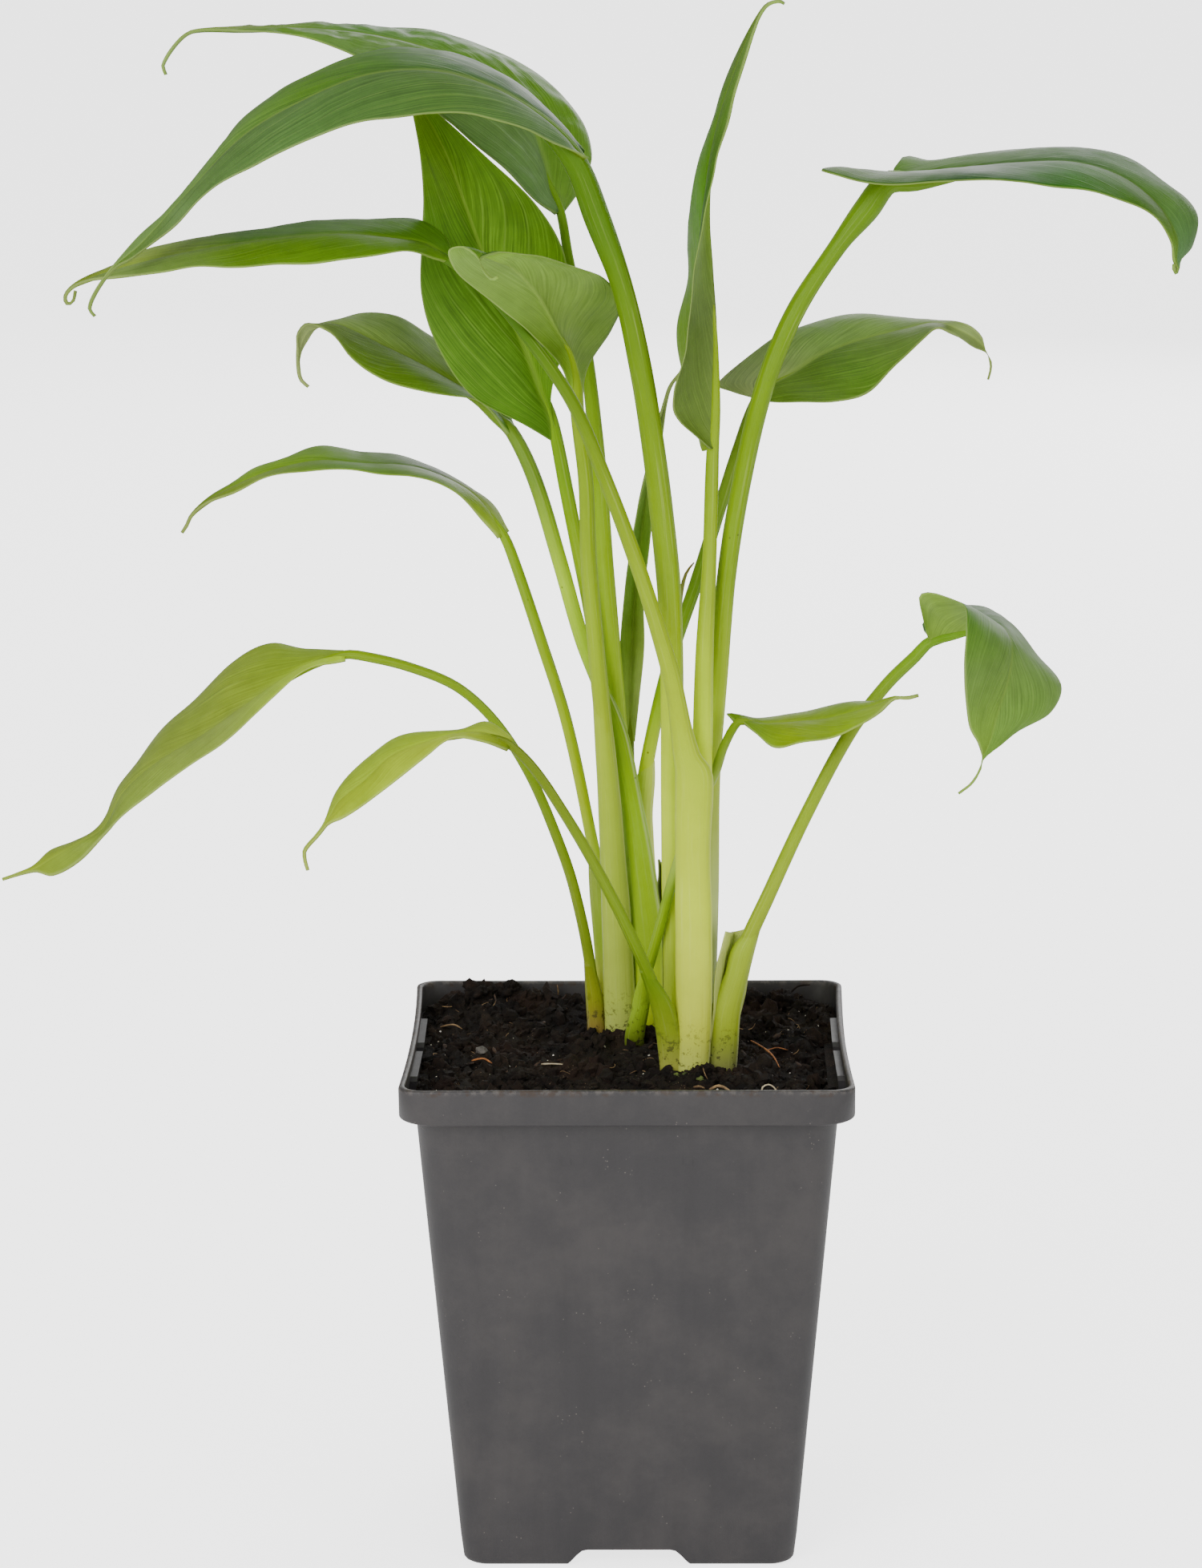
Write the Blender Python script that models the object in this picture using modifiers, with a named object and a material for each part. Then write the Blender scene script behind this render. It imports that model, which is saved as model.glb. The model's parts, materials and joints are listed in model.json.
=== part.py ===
"""Potted calla lily in leaf: a square nursery pot, its soil, two rhizomes and fifteen leaves.

Frame: metres, +Z up. The origin is the middle of the pot's underside; +X is to the right and
+Y to the back when the pot is seen from its front. LEAVES gives its points in millimetres
from the pot's axis, with heights above the soil line, so the plant follows the soil.
"""
import math

import bmesh
import bpy
from mathutils import Vector

MM = 0.001
CLEARANCE = 0.0003

# Pot
POT_HEIGHT = 0.102
RIM_WIDTH = 0.090
RIM_BAND = 0.0072
RIM_STEP = 0.0033
BASE_WIDTH = 0.0668
POT_WALL = 0.0012
CORNER_RADIUS = 0.008
FOOT_ROUND = 0.0015
RECESS_WIDTH = 0.025
RECESS_NARROWING = 0.006
RECESS_HEIGHT = 0.0035
RECESS_DEPTH = 0.014
DRAIN_DIAMETER = 0.007
LUG_LENGTH = 0.010
LUG_WIDTH = 0.0018
LUG_PROUD = 0.0016
LUG_SPACING = 0.024

# Soil and rhizomes
SOIL_DROP = 0.005
# Heaps in the soil's surface: x, y, height, spread.
SOIL_HEAPS = [(-0.026, 0.038, 0.0035, 0.0105), (0.030, 0.032, 0.0022, 0.0122),
              (0.008, 0.004, 0.0008, 0.0122)]
SOIL_RINGS = (1.0, 0.86, 0.70, 0.52, 0.34, 0.16)
RHIZOME_RADIUS = 0.0105
RHIZOME_HEIGHT = 0.013
CROWN_RADIUS = 0.0082
STALK_DEPTH = 0.007
CROWN_GAP = 0.0009
CROWNS = {"left": (0.0003, 0.0172), "right": (0.0136, -0.0064)}
RIGHT_CLUMP = ("front_arch", "low_arch_left", "small_front", "tall_folded", "high_right",
               "hanging_right")

# Leaves
BLADE_THICKNESS = 0.0005
TAIL_HALF_WIDTH = 0.0004
TIP_HALF_WIDTH = 0.00025
ARCH = 0.05
STALK_END_SHARE = 0.6

SOIL_LINE = POT_HEIGHT - SOIL_DROP
FLOOR = POT_WALL
RIM_HALF = RIM_WIDTH / 2
BODY_HALF = RIM_HALF - RIM_STEP
BASE_HALF = BASE_WIDTH / 2
BAND_LEVEL = POT_HEIGHT - RIM_BAND
LEDGE_LEVEL = BAND_LEVEL + POT_WALL

POT_GREY = (0.095, 0.090, 0.092, 1)
SOIL_BROWN = (0.020, 0.014, 0.010, 1)
RHIZOME_TAN = (0.25, 0.17, 0.09, 1)
STALK_GREEN = (0.36, 0.46, 0.10, 1)
BLADE_GREEN = (0.10, 0.20, 0.02, 1)
PALE_GREEN = (0.40, 0.44, 0.16, 1)
DRY_BROWN = (0.10, 0.08, 0.04, 1)

# Each leaf: its stalk as (x, y, height, radius) up from the crown; its blade as rows from the
# stalk to the tail, each row the (left margin, midrib, right margin) seen on the upper face
# with the tip pointing away; and the thread-like tail past the last row.
LEAVES = {
    "upper_rear": {
        "stalk": [(2.5, 19.5, -7, 1.9), (-0.5, 19.5, 29, 1.9), (-1.5, 18, 58, 1.9),
                  (-3, 17, 79.5, 1.85), (-4.5, 16, 99.5, 1.8), (-6, 16, 122.5, 1.6),
                  (-8.5, 16, 145.5, 1.3), (-11.5, 16, 161.5, 1)],
        "blade": [
            ((-14, 15, 170), (-13, 16, 171), (-12.5, 17, 170)),
            ((-17.5, 12, 173), (-15, 18, 174.5), (-9, 23, 174.5)),
            ((-22.5, 11, 178.5), (-16.5, 21, 180.5), (-7, 29, 181)),
            ((-30, 11, 184.5), (-19.5, 24, 188), (-9.5, 34, 188)),
            ((-39.5, 12, 192.5), (-26.5, 25, 196), (-18.5, 37, 197)),
            ((-47.5, 13, 198.5), (-37, 25, 201.5), (-29.5, 37, 202.5)),
            ((-57.5, 15, 203), (-50, 24, 205), (-45.5, 34, 206)),
            ((-68.5, 17, 206), (-64, 22, 206.5), (-61.5, 29, 207.5)),
            ((-78, 18, 206.5), (-76.5, 20, 206.5), (-76, 23, 207)),
        ],
        "tail": [(-86, 18, 206.5), (-89, 17, 204.5), (-92, 16, 200), (-91.5, 16, 198)],
    },
    "front_arch": {
        "stalk": [(9.6, -4.6, -7, 1.9), (9, -6, 35, 2.1), (9, -7.5, 61.5, 2.2), (9, -9, 81.5, 2.3),
                  (8.5, -11, 98, 2.35), (7, -11.5, 114, 2.35), (5.5, -12, 126.5, 2.3),
                  (3, -12, 142.5, 2.2), (-0.5, -13, 158.5, 2.1), (-5.5, -13, 172.5, 2)],
        "blade": [
            ((-7, -16, 184), (-9, -14, 183), (-8, -12, 185)),
            ((-12, -20, 187), (-11.5, -15, 188), (-11.5, -7, 189)),
            ((-19, -25, 190.5), (-18.5, -16, 194), (-17.5, -2, 194.5)),
            ((-29, -28, 193.5), (-27, -17, 198.5), (-25, 3, 199.5)),
            ((-41, -30, 194), (-37.5, -17, 201), (-36, 5, 203)),
            ((-53, -29, 191.5), (-50, -17, 200), (-48.5, 4, 203.5)),
            ((-65.5, -27, 186.5), (-62.5, -17, 195), (-62, 1, 199)),
            ((-77, -23, 180), (-73.5, -17, 188.5), (-74.5, -4, 191)),
            ((-87, -23, 172), (-83.5, -20, 178.5), (-84, -14, 179.5)),
            ((-94.5, -26, 166), (-93, -25, 168.5), (-94, -23, 169.5)),
        ],
        "tail": [(-98.5, -27, 164), (-101.5, -28, 160), (-103, -28, 156.5), (-102, -28, 155)],
    },
    "broad_rear": {
        "stalk": [(1.6, 15, -7, 1.2), (-2, 16.5, 16, 1.2), (-3, 15, 36.5, 1.3), (-5, 14, 67, 1.4),
                  (-7, 13.5, 87, 1.4), (-10, 12.5, 103.5, 1.4), (-12.5, 12, 117, 1.4)],
        "blade": [
            ((-14.5, 12, 124.5), (-14, 12, 125), (-13.5, 12, 124.5)),
            ((-20.5, 10, 128.5), (-15, 11, 130), (-15, 10, 131.5)),
            ((-30.5, 7, 134.5), (-17, 10, 135), (-14.5, 8, 137)),
            ((-37.5, 5, 145), (-20, 9, 143.5), (-12, 7, 145)),
            ((-40.5, 5, 155), (-24.5, 8, 154), (-11, 6, 154.5)),
            ((-40.5, 5, 164.5), (-28.5, 8, 163.5), (-12.5, 5, 164.5)),
            ((-40, 6, 174), (-32, 8, 173.5), (-18, 5, 173.5)),
            ((-40.5, 6, 182.5), (-35.5, 8, 183), (-27, 6, 182)),
            ((-42, 7, 191), (-40, 8, 191.5), (-37, 7, 191)),
        ],
        "tail": [(-42.5, 7, 195), (-44, 7, 197)],
    },
    "low_arch_left": {
        "stalk": [(12, -11.4, -7, 1.7), (12, -16, 37, 1.9), (12, -18, 63.5, 1.9), (9.5, -19, 80, 1.8),
                  (6, -19, 93, 1.6), (1.5, -18.5, 107, 1.5), (-4.5, -17.5, 123, 1.4),
                  (-10.5, -17, 137, 1.3), (-19.5, -16, 150, 1.2), (-28, -15, 159.5, 1)],
        "blade": [
            ((-35, -15, 164), (-34, -14, 164), (-33.5, -13, 165)),
            ((-40, -20, 166), (-38, -15, 167), (-35.5, -8, 168.5)),
            ((-46, -25, 166.5), (-44.5, -16, 168.5), (-41.5, -3, 171.5)),
            ((-55.5, -27, 165.5), (-54.5, -17, 169.5), (-52, 1, 170.5)),
            ((-66, -27, 165), (-65, -18, 169), (-65, 1, 169.5)),
            ((-77, -26, 164), (-77, -18, 167.5), (-77.5, -2, 168.5)),
            ((-88, -24, 163.5), (-88, -18, 165.5), (-89.5, -7, 166.5)),
            ((-97.5, -21, 162), (-98, -18, 163), (-98.5, -13, 164)),
            ((-104, -19, 161), (-104, -18, 161), (-104.5, -17, 161.5)),
        ],
        "tail": [(-107.5, -18, 159.5), (-109, -17, 157.5), (-108.5, -16, 156),
                 (-107.5, -15.5, 156.5), (-107, -15, 158.5)],
    },
    "pale_underside": {
        "stalk": [(-2.3, 14.9, -7, 1.8), (-3, 12, 17, 1.85), (-3, 9.5, 31, 1.9), (-4, 6, 58.5, 1.8),
                  (-6, 3, 82.5, 1.7), (-7.5, 1, 102, 1.6), (-8, 0, 118.5, 1.5)],
        "blade": [
            ((-8.5, -1, 132), (-9.5, -2, 133), (-10.5, -2, 135)),
            ((-7.5, 1, 141), (-11.5, -8, 145), (-13.5, -13, 144)),
            ((-3, 0, 149), (-14, -15, 151.5), (-18.5, -19, 150.5)),
            ((-1, -4, 155), (-16.5, -21, 157.5), (-24, -22.5, 155.5)),
            ((-4.5, -12, 160.5), (-19, -26, 161.5), (-29, -26.5, 160)),
            ((-11.5, -21, 164), (-22, -30, 165), (-32.5, -31, 164)),
            ((-18, -29, 166.5), (-24.5, -34, 166.5), (-33.5, -33, 168)),
            ((-24, -34, 167.5), (-26.5, -36, 167.5), (-30.5, -36, 169)),
        ],
        "tail": [(-27.5, -38, 167), (-26.5, -40, 165), (-25, -41, 163.5), (-24, -42, 164)],
    },
    "mid_left": {
        "stalk": [(6.2, 15.5, -7, 1.9), (2.5, 13, 30.5, 1.9), (1, 11.5, 51, 1.8), (-4, 10, 71, 1.6),
                  (-9, 10, 84.5, 1.5), (-13.5, 11, 100.5, 1.5), (-18.5, 15, 116.5, 1.5)],
        "blade": [
            ((-23.5, 17, 125.5), (-23, 18, 126), (-22.5, 19, 126.5)),
            ((-29, 13, 132), (-28.5, 18, 132), (-25.5, 24, 133)),
            ((-35.5, 10, 134), (-35, 18, 136), (-32, 28, 139)),
            ((-42.5, 8, 136.5), (-42, 18, 140), (-39.5, 29, 143.5)),
            ((-50, 8, 138.5), (-49, 18, 143.5), (-46, 27, 148)),
            ((-55.5, 10, 142), (-55, 18, 146.5), (-53.5, 24, 149.5)),
            ((-59.5, 14, 146.5), (-59, 17, 148), (-58.5, 20, 148.5)),
            ((-64, 14, 148.5), (-63.5, 15, 147.5), (-62.5, 17, 147)),
            ((-66, 14, 146.5), (-65, 15, 145.5), (-64, 16, 145)),
            ((-66, 14, 143.5), (-66, 15, 143), (-65.5, 16, 142.5)),
        ],
        "tail": [(-66, 15, 139.5), (-65.5, 15, 137), (-64, 15, 135.5)],
    },
    "narrow_arch": {
        "stalk": [(-4.6, 19.2, -7, 1.3), (-5.5, 18, 29, 1.3), (-8, 17.5, 44.5, 1.2),
                  (-12.5, 17, 66.5, 1.2), (-17.5, 17, 83, 1.2), (-23, 19, 99.5, 1.1)],
        "blade": [
            ((-26, 19, 104), (-25, 20, 104.5), (-24, 21, 105)),
            ((-31, 16, 111), (-29.5, 21, 111), (-28, 25, 110.5)),
            ((-36, 13, 115), (-35, 21, 115), (-35, 29, 114.5)),
            ((-44, 12, 118), (-43.5, 22, 118), (-44, 33, 118)),
            ((-53.5, 13, 118.5), (-53.5, 23, 118.5), (-55, 35, 119.5)),
            ((-63.5, 15, 118.5), (-63, 24, 119), (-63.5, 34, 120.5)),
            ((-72.5, 18, 116.5), (-72.5, 24, 117), (-73.5, 31, 118)),
            ((-81, 21, 113), (-81, 24, 113.5), (-81.5, 27, 114)),
            ((-86, 23, 110.5), (-86, 24, 110.5), (-86, 25, 111)),
        ],
        "tail": [(-89, 24, 108), (-90, 24, 106), (-91, 24, 104.5)],
    },
    "low_left": {
        "stalk": [(-6.6, 15.2, -7, 1.1), (-7.5, 13, 13.5, 1.15), (-11, 10, 33, 1.1),
                  (-15, 7, 46, 1.05), (-20, 4, 58.5, 1), (-26.5, 1, 69.5, 1), (-34, -1, 77, 1),
                  (-43.5, -3, 81.5, 1), (-52.5, -4.5, 84, 1)],
        "blade": [
            ((-56, -6, 83.5), (-56.5, -5, 84.5), (-56.5, -4, 85)),
            ((-63, -12, 82.5), (-63, -7, 83), (-64, 2, 84)),
            ((-70, -17, 78), (-69.5, -9, 79.5), (-71.5, 6, 84.5)),
            ((-77.5, -20, 71.5), (-77, -11, 74.5), (-80, 6, 80.5)),
            ((-85, -22, 66), (-84.5, -13, 69.5), (-87.5, 3, 73.5)),
            ((-93, -22, 61), (-92.5, -15, 65), (-94.5, -2, 67.5)),
            ((-99.5, -21, 55), (-99.5, -16, 59), (-101, -9, 59)),
            ((-103.5, -19, 51), (-104, -17, 51.5), (-105, -15, 52)),
            ((-108.5, -19, 46), (-109.5, -18, 48.5), (-110.5, -14, 48.5)),
            ((-114, -20, 43), (-114, -19, 46), (-115, -16, 47)),
            ((-117.5, -20, 43.5), (-117.5, -20, 44), (-118, -19, 44.5)),
        ],
        "tail": [(-121, -20, 43), (-124, -20, 42)],
    },
    "small_front": {
        "stalk": [(8.8, -9.8, -7, 1.2), (7, -15, 13, 1.2), (1, -21, 30, 1.15), (-6.5, -26, 46.5, 1.1),
                  (-13, -29, 58.5, 1), (-18, -31, 66.5, 0.95)],
        "blade": [
            ((-23, -33, 70.5), (-22.5, -32, 71.5), (-22, -31, 72.5)),
            ((-27.5, -36, 73), (-27.5, -33, 74), (-27, -30, 75.5)),
            ((-33, -37, 73.5), (-33, -34, 74), (-32.5, -30, 74)),
            ((-38, -40, 71), (-39, -35, 72.5), (-39.5, -29, 73.5)),
            ((-43.5, -42, 67.5), (-45.5, -36, 70), (-46.5, -29, 71.5)),
            ((-49.5, -42, 62.5), (-50.5, -37, 65.5), (-52.5, -31, 67)),
            ((-55, -41, 59), (-55.5, -38, 61.5), (-56.5, -34, 62.5)),
            ((-58, -39, 57), (-58, -38.5, 57.5), (-58.5, -38, 57.5)),
        ],
        "tail": [(-60, -39, 55), (-62.5, -39, 52), (-62.5, -39, 50), (-62, -39, 48)],
    },
    "tall_folded": {
        "stalk": [(14.4, -6.8, -7, 2), (14.5, -11.5, 36, 2), (15, -12, 62.5, 2), (15.5, -11, 85, 1.8),
                  (16.5, -8, 103.5, 1.4), (17, -6.5, 119.5, 1.35)],
        "blade": [
            ((15.5, -4, 125), (17, -6, 126), (16.5, -8, 126)),
            ((14, 2, 128.5), (17, -6, 132), (10.5, -12, 132)),
            ((11.5, 6, 138.5), (17, -6, 141.5), (10, -15, 138)),
            ((10.5, 9, 145.5), (17, -5, 151), (12, -16, 147.5)),
            ((12, 12, 157), (16.5, -4, 161), (13.5, -14, 157.5)),
            ((12.5, 12, 169), (16, -2, 170.5), (15, -11, 166.5)),
            ((14.5, 11, 181.5), (16.5, 0, 179.5), (17, -6, 176.5)),
            ((18, 10, 191), (18.5, 3, 189.5), (19.5, -1, 188.5)),
            ((21.5, 10, 200), (22, 6, 199.5), (23, 4, 199)),
            ((24.5, 9, 206.5), (25, 8, 206.5), (25.5, 7, 206.5)),
        ],
        "tail": [(27, 9, 210.5), (28.5, 10, 212), (30.5, 10, 212.5), (31.5, 11, 212)],
    },
    "high_right": {
        "stalk": [(15.6, -2.4, -7, 1.9), (16.5, -4, 34.5, 1.9), (17, -4, 60.5, 1.8),
                  (18.5, -4, 80.5, 1.8), (20, -4, 100, 1.9), (23, -4, 119, 1.9), (27.5, -4, 138, 1.9),
                  (33.5, -3, 152.5, 1.9), (42, -2, 165.5, 1.8), (47.5, -1.5, 172.5, 1.7)],
        "blade": [
            ((52.5, 0, 178.5), (51.5, -1, 178), (51, -2, 179)),
            ((53.5, 5, 180.5), (52.5, -1, 178), (44, -6, 180.5)),
            ((55.5, 11, 182), (53.5, -1, 178.5), (38, -9, 181)),
            ((61.5, 15, 181), (57.5, 0, 179), (45, -14, 179)),
            ((72, 18, 181.5), (66, 1, 180), (60.5, -17, 179)),
            ((85, 19, 183), (77.5, 2, 181), (76, -17, 179)),
            ((97, 18, 181.5), (88.5, 3, 181), (88, -14, 177.5)),
            ((107, 15, 176.5), (98, 3, 178), (97, -10, 175)),
            ((113.5, 10, 170.5), (105, 2, 172.5), (103.5, -6, 171)),
            ((112.5, 5, 164.5), (108.5, 1, 166.5), (107, -3, 166)),
            ((109.5, 1, 162), (108.5, 0, 162), (108, -1, 162)),
        ],
        "tail": [(109, 0, 160.5), (108.5, -1, 159.5), (108, -1, 160.5), (108, -1, 161.5)],
    },
    "mid_right": {
        "stalk": [(6.6, 20.6, -7, 1.6), (3.5, 19, 32.5, 1.6), (3, 18, 49.5, 1.5), (5, 17, 63, 1.4),
                  (9, 16, 80, 1.35), (14, 15.5, 95, 1.35), (18.5, 15, 109.5, 1.3),
                  (22.5, 15, 122.5, 1.2)],
        "blade": [
            ((25.5, 15, 133), (26.5, 15, 133), (27.5, 15, 132.5)),
            ((21.5, 16, 134), (27.5, 15, 134), (30, 12, 132.5)),
            ((18.5, 18, 135), (29, 16, 135.5), (35, 9, 133)),
            ((24, 24, 139.5), (33, 17, 137.5), (41.5, 8, 133)),
            ((33, 29, 145), (40, 19, 141.5), (48.5, 9, 135)),
            ((44, 33, 148), (48.5, 22, 144), (54.5, 13, 140.5)),
            ((54.5, 34, 147), (56.5, 25, 145.5), (60, 19, 144.5)),
            ((62.5, 31, 146.5), (63, 27, 146.5), (63.5, 24, 145.5)),
            ((68.5, 28, 146.5), (68, 27, 145), (67.5, 28, 143.5)),
            ((72, 27, 144), (71.5, 27, 143), (70.5, 28, 141.5)),
            ((73, 27, 141), (73, 27, 141), (73, 27, 140.5)),
        ],
        "tail": [(74, 27, 138.5), (74, 27, 137), (73.5, 27, 135)],
    },
    "hanging_right": {
        "stalk": [(19.1, -8.8, -7, 1.75), (20.5, -10, 12.5, 1.8), (22.5, -10, 22.5, 1.6),
                  (28.5, -10, 36.5, 1.45), (36, -10, 53, 1.35), (44.5, -11, 69.5, 1.3),
                  (51.5, -13, 79.5, 1.25), (57, -15, 85.5, 1.2)],
        "blade": [
            ((60, -14, 89), (60, -16, 89), (59.5, -18, 89.5)),
            ((58.5, -9, 91), (61.5, -16, 89.5), (58, -22, 95)),
            ((61, -4, 93), (64, -16, 90.5), (57.5, -26, 99.5)),
            ((67, -2, 93.5), (67, -17, 91.5), (62, -30, 100)),
            ((72.5, -4, 93), (71, -19, 93), (65.5, -34, 99)),
            ((77, -9, 90), (74, -24, 92.5), (65.5, -39, 95.5)),
            ((81, -16, 86), (75, -30, 90), (65.5, -43, 90)),
            ((85.5, -23, 81), (74, -35, 85), (66, -43, 83)),
            ((83, -30, 77), (72, -38, 79.5), (66.5, -41, 76.5)),
            ((75, -36, 74), (70.5, -39, 74), (68, -40, 73)),
            ((69.5, -39, 70), (69, -39, 70), (69, -39, 70)),
        ],
        "tail": [(68.5, -39, 67.5), (67, -39, 65), (64.5, -39, 63)],
    },
    "small_right": {
        "stalk": [(1.4, 10.6, -7, 1), (2.5, 4, 11.5, 1.05), (4.5, -3, 20.5, 1.05), (6, -7.5, 27, 1.05),
                  (9, -10.5, 39, 1.05), (11.5, -9.5, 47, 1), (14, -8, 53.5, 1), (17.5, -8, 60.5, 1),
                  (19.5, -11, 67, 0.9)],
        "blade": [
            ((21.5, -12, 72), (22.5, -13, 72.5), (23.5, -14, 72)),
            ((20, -10, 73.5), (23.5, -13, 72.5), (25, -16, 71)),
            ((26, -8, 72), (27.5, -14, 72), (29, -20, 68.5)),
            ((32.5, -7, 73), (34, -15, 72.5), (34.5, -23, 70)),
            ((39, -8, 74.5), (40, -17, 73.5), (40.5, -24, 71)),
            ((45, -11, 76), (46, -19, 75.5), (46, -24, 73.5)),
            ((49.5, -16, 77), (50, -20, 77), (50, -22, 76)),
        ],
        "tail": [(53, -21, 78.5), (55.5, -21, 78.5), (57.5, -21, 79)],
    },
    "young_rolled": {
        "stalk": [(2.8, 23.7, -7, 1.1), (0.5, 23, 31.5, 1), (0.5, 22, 48.5, 0.9)],
        "blade": [
            ((0, 20, 61.5), (0.5, 20, 61.5), (1.5, 20, 61.5)),
            ((-1, 19, 71), (0.5, 21, 70.5), (2.5, 19, 71)),
            ((-1.5, 20, 81), (1, 23, 81), (3.5, 20, 81)),
            ((-0.5, 20, 91.5), (1.5, 23, 92), (3.5, 21, 91.5)),
            ((0.5, 21, 100.5), (2.5, 23, 101), (4.5, 22, 101)),
            ((2, 21, 109), (3.5, 23, 109.5), (5.5, 22, 110.5)),
            ((4, 22, 117.5), (5, 23, 118), (6.5, 23, 118.5)),
            ((6, 22, 126), (6.5, 23, 126), (7.5, 23, 126.5)),
        ],
        "tail": [(8, 23, 131.5), (9, 23, 134.5), (11, 24, 137)],
    },
}

# A rolled spear beside the right clump, as a stalk without a blade.
SPEAR = [(12.2, -0.4, -7, 0.9), (10, -1.5, 37, 1), (10, -4, 70.5, 0.9), (10.5, -5.5, 93.5, 0.6),
         (11, -6, 97.5, 0.45), (12, -6, 101, 0.3), (13.5, -6, 103, 0.15)]

# Two scraps of old sheath, as blades without a stalk.
TORN_SHEATH = [
    ((16.4, -11.2, 3), (17.6, -5.4, 2), (21.6, -6.2, 3)),
    ((16.9, -12.4, 12), (18.6, -6.0, 11), (22.8, -6.8, 12)),
    ((18.0, -12.8, 22), (20.0, -6.2, 21), (24.4, -6.8, 21.5)),
    ((19.4, -12.8, 29.5), (21.3, -6.0, 27.5), (25.2, -6.6, 29)),
]
DRY_BRACT = [
    ((7, 4, 5.5), (7.5, 5, 5.5), (8, 4, 5.5)),
    ((7, 4, 22.5), (7.5, 4.5, 22), (8, 4, 22.5)),
    ((6.5, 4, 32.5), (7, 4.5, 32.5), (8, 4, 34.5)),
    ((6, 4, 37.5), (6.5, 4.5, 37.5), (7, 4, 38)),
]
DRY_BRACT_TAIL = [(6, 4, 40.5)]


def clear_scene():
    for obj in list(bpy.data.objects):
        bpy.data.objects.remove(obj, do_unlink=True)


def new_collection(name):
    collection = bpy.data.collections.new(name)
    bpy.context.scene.collection.children.link(collection)
    return collection


def plain_material(name, color, roughness):
    material = bpy.data.materials.new(name)
    material.use_nodes = True
    shader = material.node_tree.nodes["Principled BSDF"]
    shader.inputs["Base Color"].default_value = color
    shader.inputs["Roughness"].default_value = roughness
    shader.inputs["Metallic"].default_value = 0.0
    return material


def add_object(name, data, collection, color, roughness):
    obj = bpy.data.objects.new(name, data)
    collection.objects.link(obj)
    obj.data.materials.append(plain_material(name, color, roughness))
    return obj


def add_cutter(name, data, cutters):
    obj = bpy.data.objects.new(name, data)
    cutters.objects.link(obj)
    obj.hide_render = True
    obj.display_type = "WIRE"
    return obj


def cut_or_join(obj, other, operation):
    modifier = obj.modifiers.new(other.name, "BOOLEAN")
    modifier.operation = operation
    modifier.solver = "EXACT"
    modifier.object = other


def rounded_square(half, radius, height, corner_steps=3):
    """Points round a square with round corners, counter-clockwise from above."""
    points = []
    inner = half - radius
    for corner in range(4):
        start = corner * math.pi / 2
        centre_x = inner * (1 if corner in (0, 3) else -1)
        centre_y = inner * (1 if corner in (0, 1) else -1)
        for step in range(corner_steps + 1):
            angle = start + step / corner_steps * math.pi / 2
            points.append((centre_x + radius * math.cos(angle),
                           centre_y + radius * math.sin(angle), height))
    return points


def loft(name, rings):
    """Close a mesh over rings of equal length; the first and last rings are capped."""
    mesh = bpy.data.meshes.new(name)
    build = bmesh.new()
    loops = [[build.verts.new(point) for point in ring] for ring in rings]
    for lower, upper in zip(loops, loops[1:]):
        for i in range(len(lower)):
            k = (i + 1) % len(lower)
            build.faces.new((lower[i], lower[k], upper[k], upper[i]))
    build.faces.new(list(reversed(loops[0])))
    build.faces.new(loops[-1])
    bmesh.ops.recalc_face_normals(build, faces=build.faces)
    build.to_mesh(mesh)
    build.free()
    return mesh


def block(name, low, high, narrowing=0.0):
    """A box from low to high whose top is narrower along Y, from a primitive cube."""
    mesh = bpy.data.meshes.new(name)
    build = bmesh.new()
    bmesh.ops.create_cube(build, size=1.0)
    for vert in build.verts:
        share = Vector((vert.co.x + 0.5, vert.co.y + 0.5, vert.co.z + 0.5))
        vert.co = Vector(low[i] + (high[i] - low[i]) * share[i] for i in range(3))
        if share.z > 0.5:
            vert.co.y -= math.copysign(narrowing / 2, vert.co.y)
    build.to_mesh(mesh)
    build.free()
    return mesh


def disc(name, radius, low, high, place):
    """A short upright cylinder, from a primitive cone with equal ends."""
    mesh = bpy.data.meshes.new(name)
    build = bmesh.new()
    bmesh.ops.create_cone(build, cap_ends=True, segments=16, radius1=radius, radius2=radius,
                          depth=high - low)
    bmesh.ops.translate(build, verts=build.verts, vec=(place[0], place[1], (low + high) / 2))
    build.to_mesh(mesh)
    build.free()
    return mesh


def body_half_at(height):
    """Half the pot body's outer width at a height."""
    return BASE_HALF + (BODY_HALF - BASE_HALF) * height / BAND_LEVEL


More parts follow.
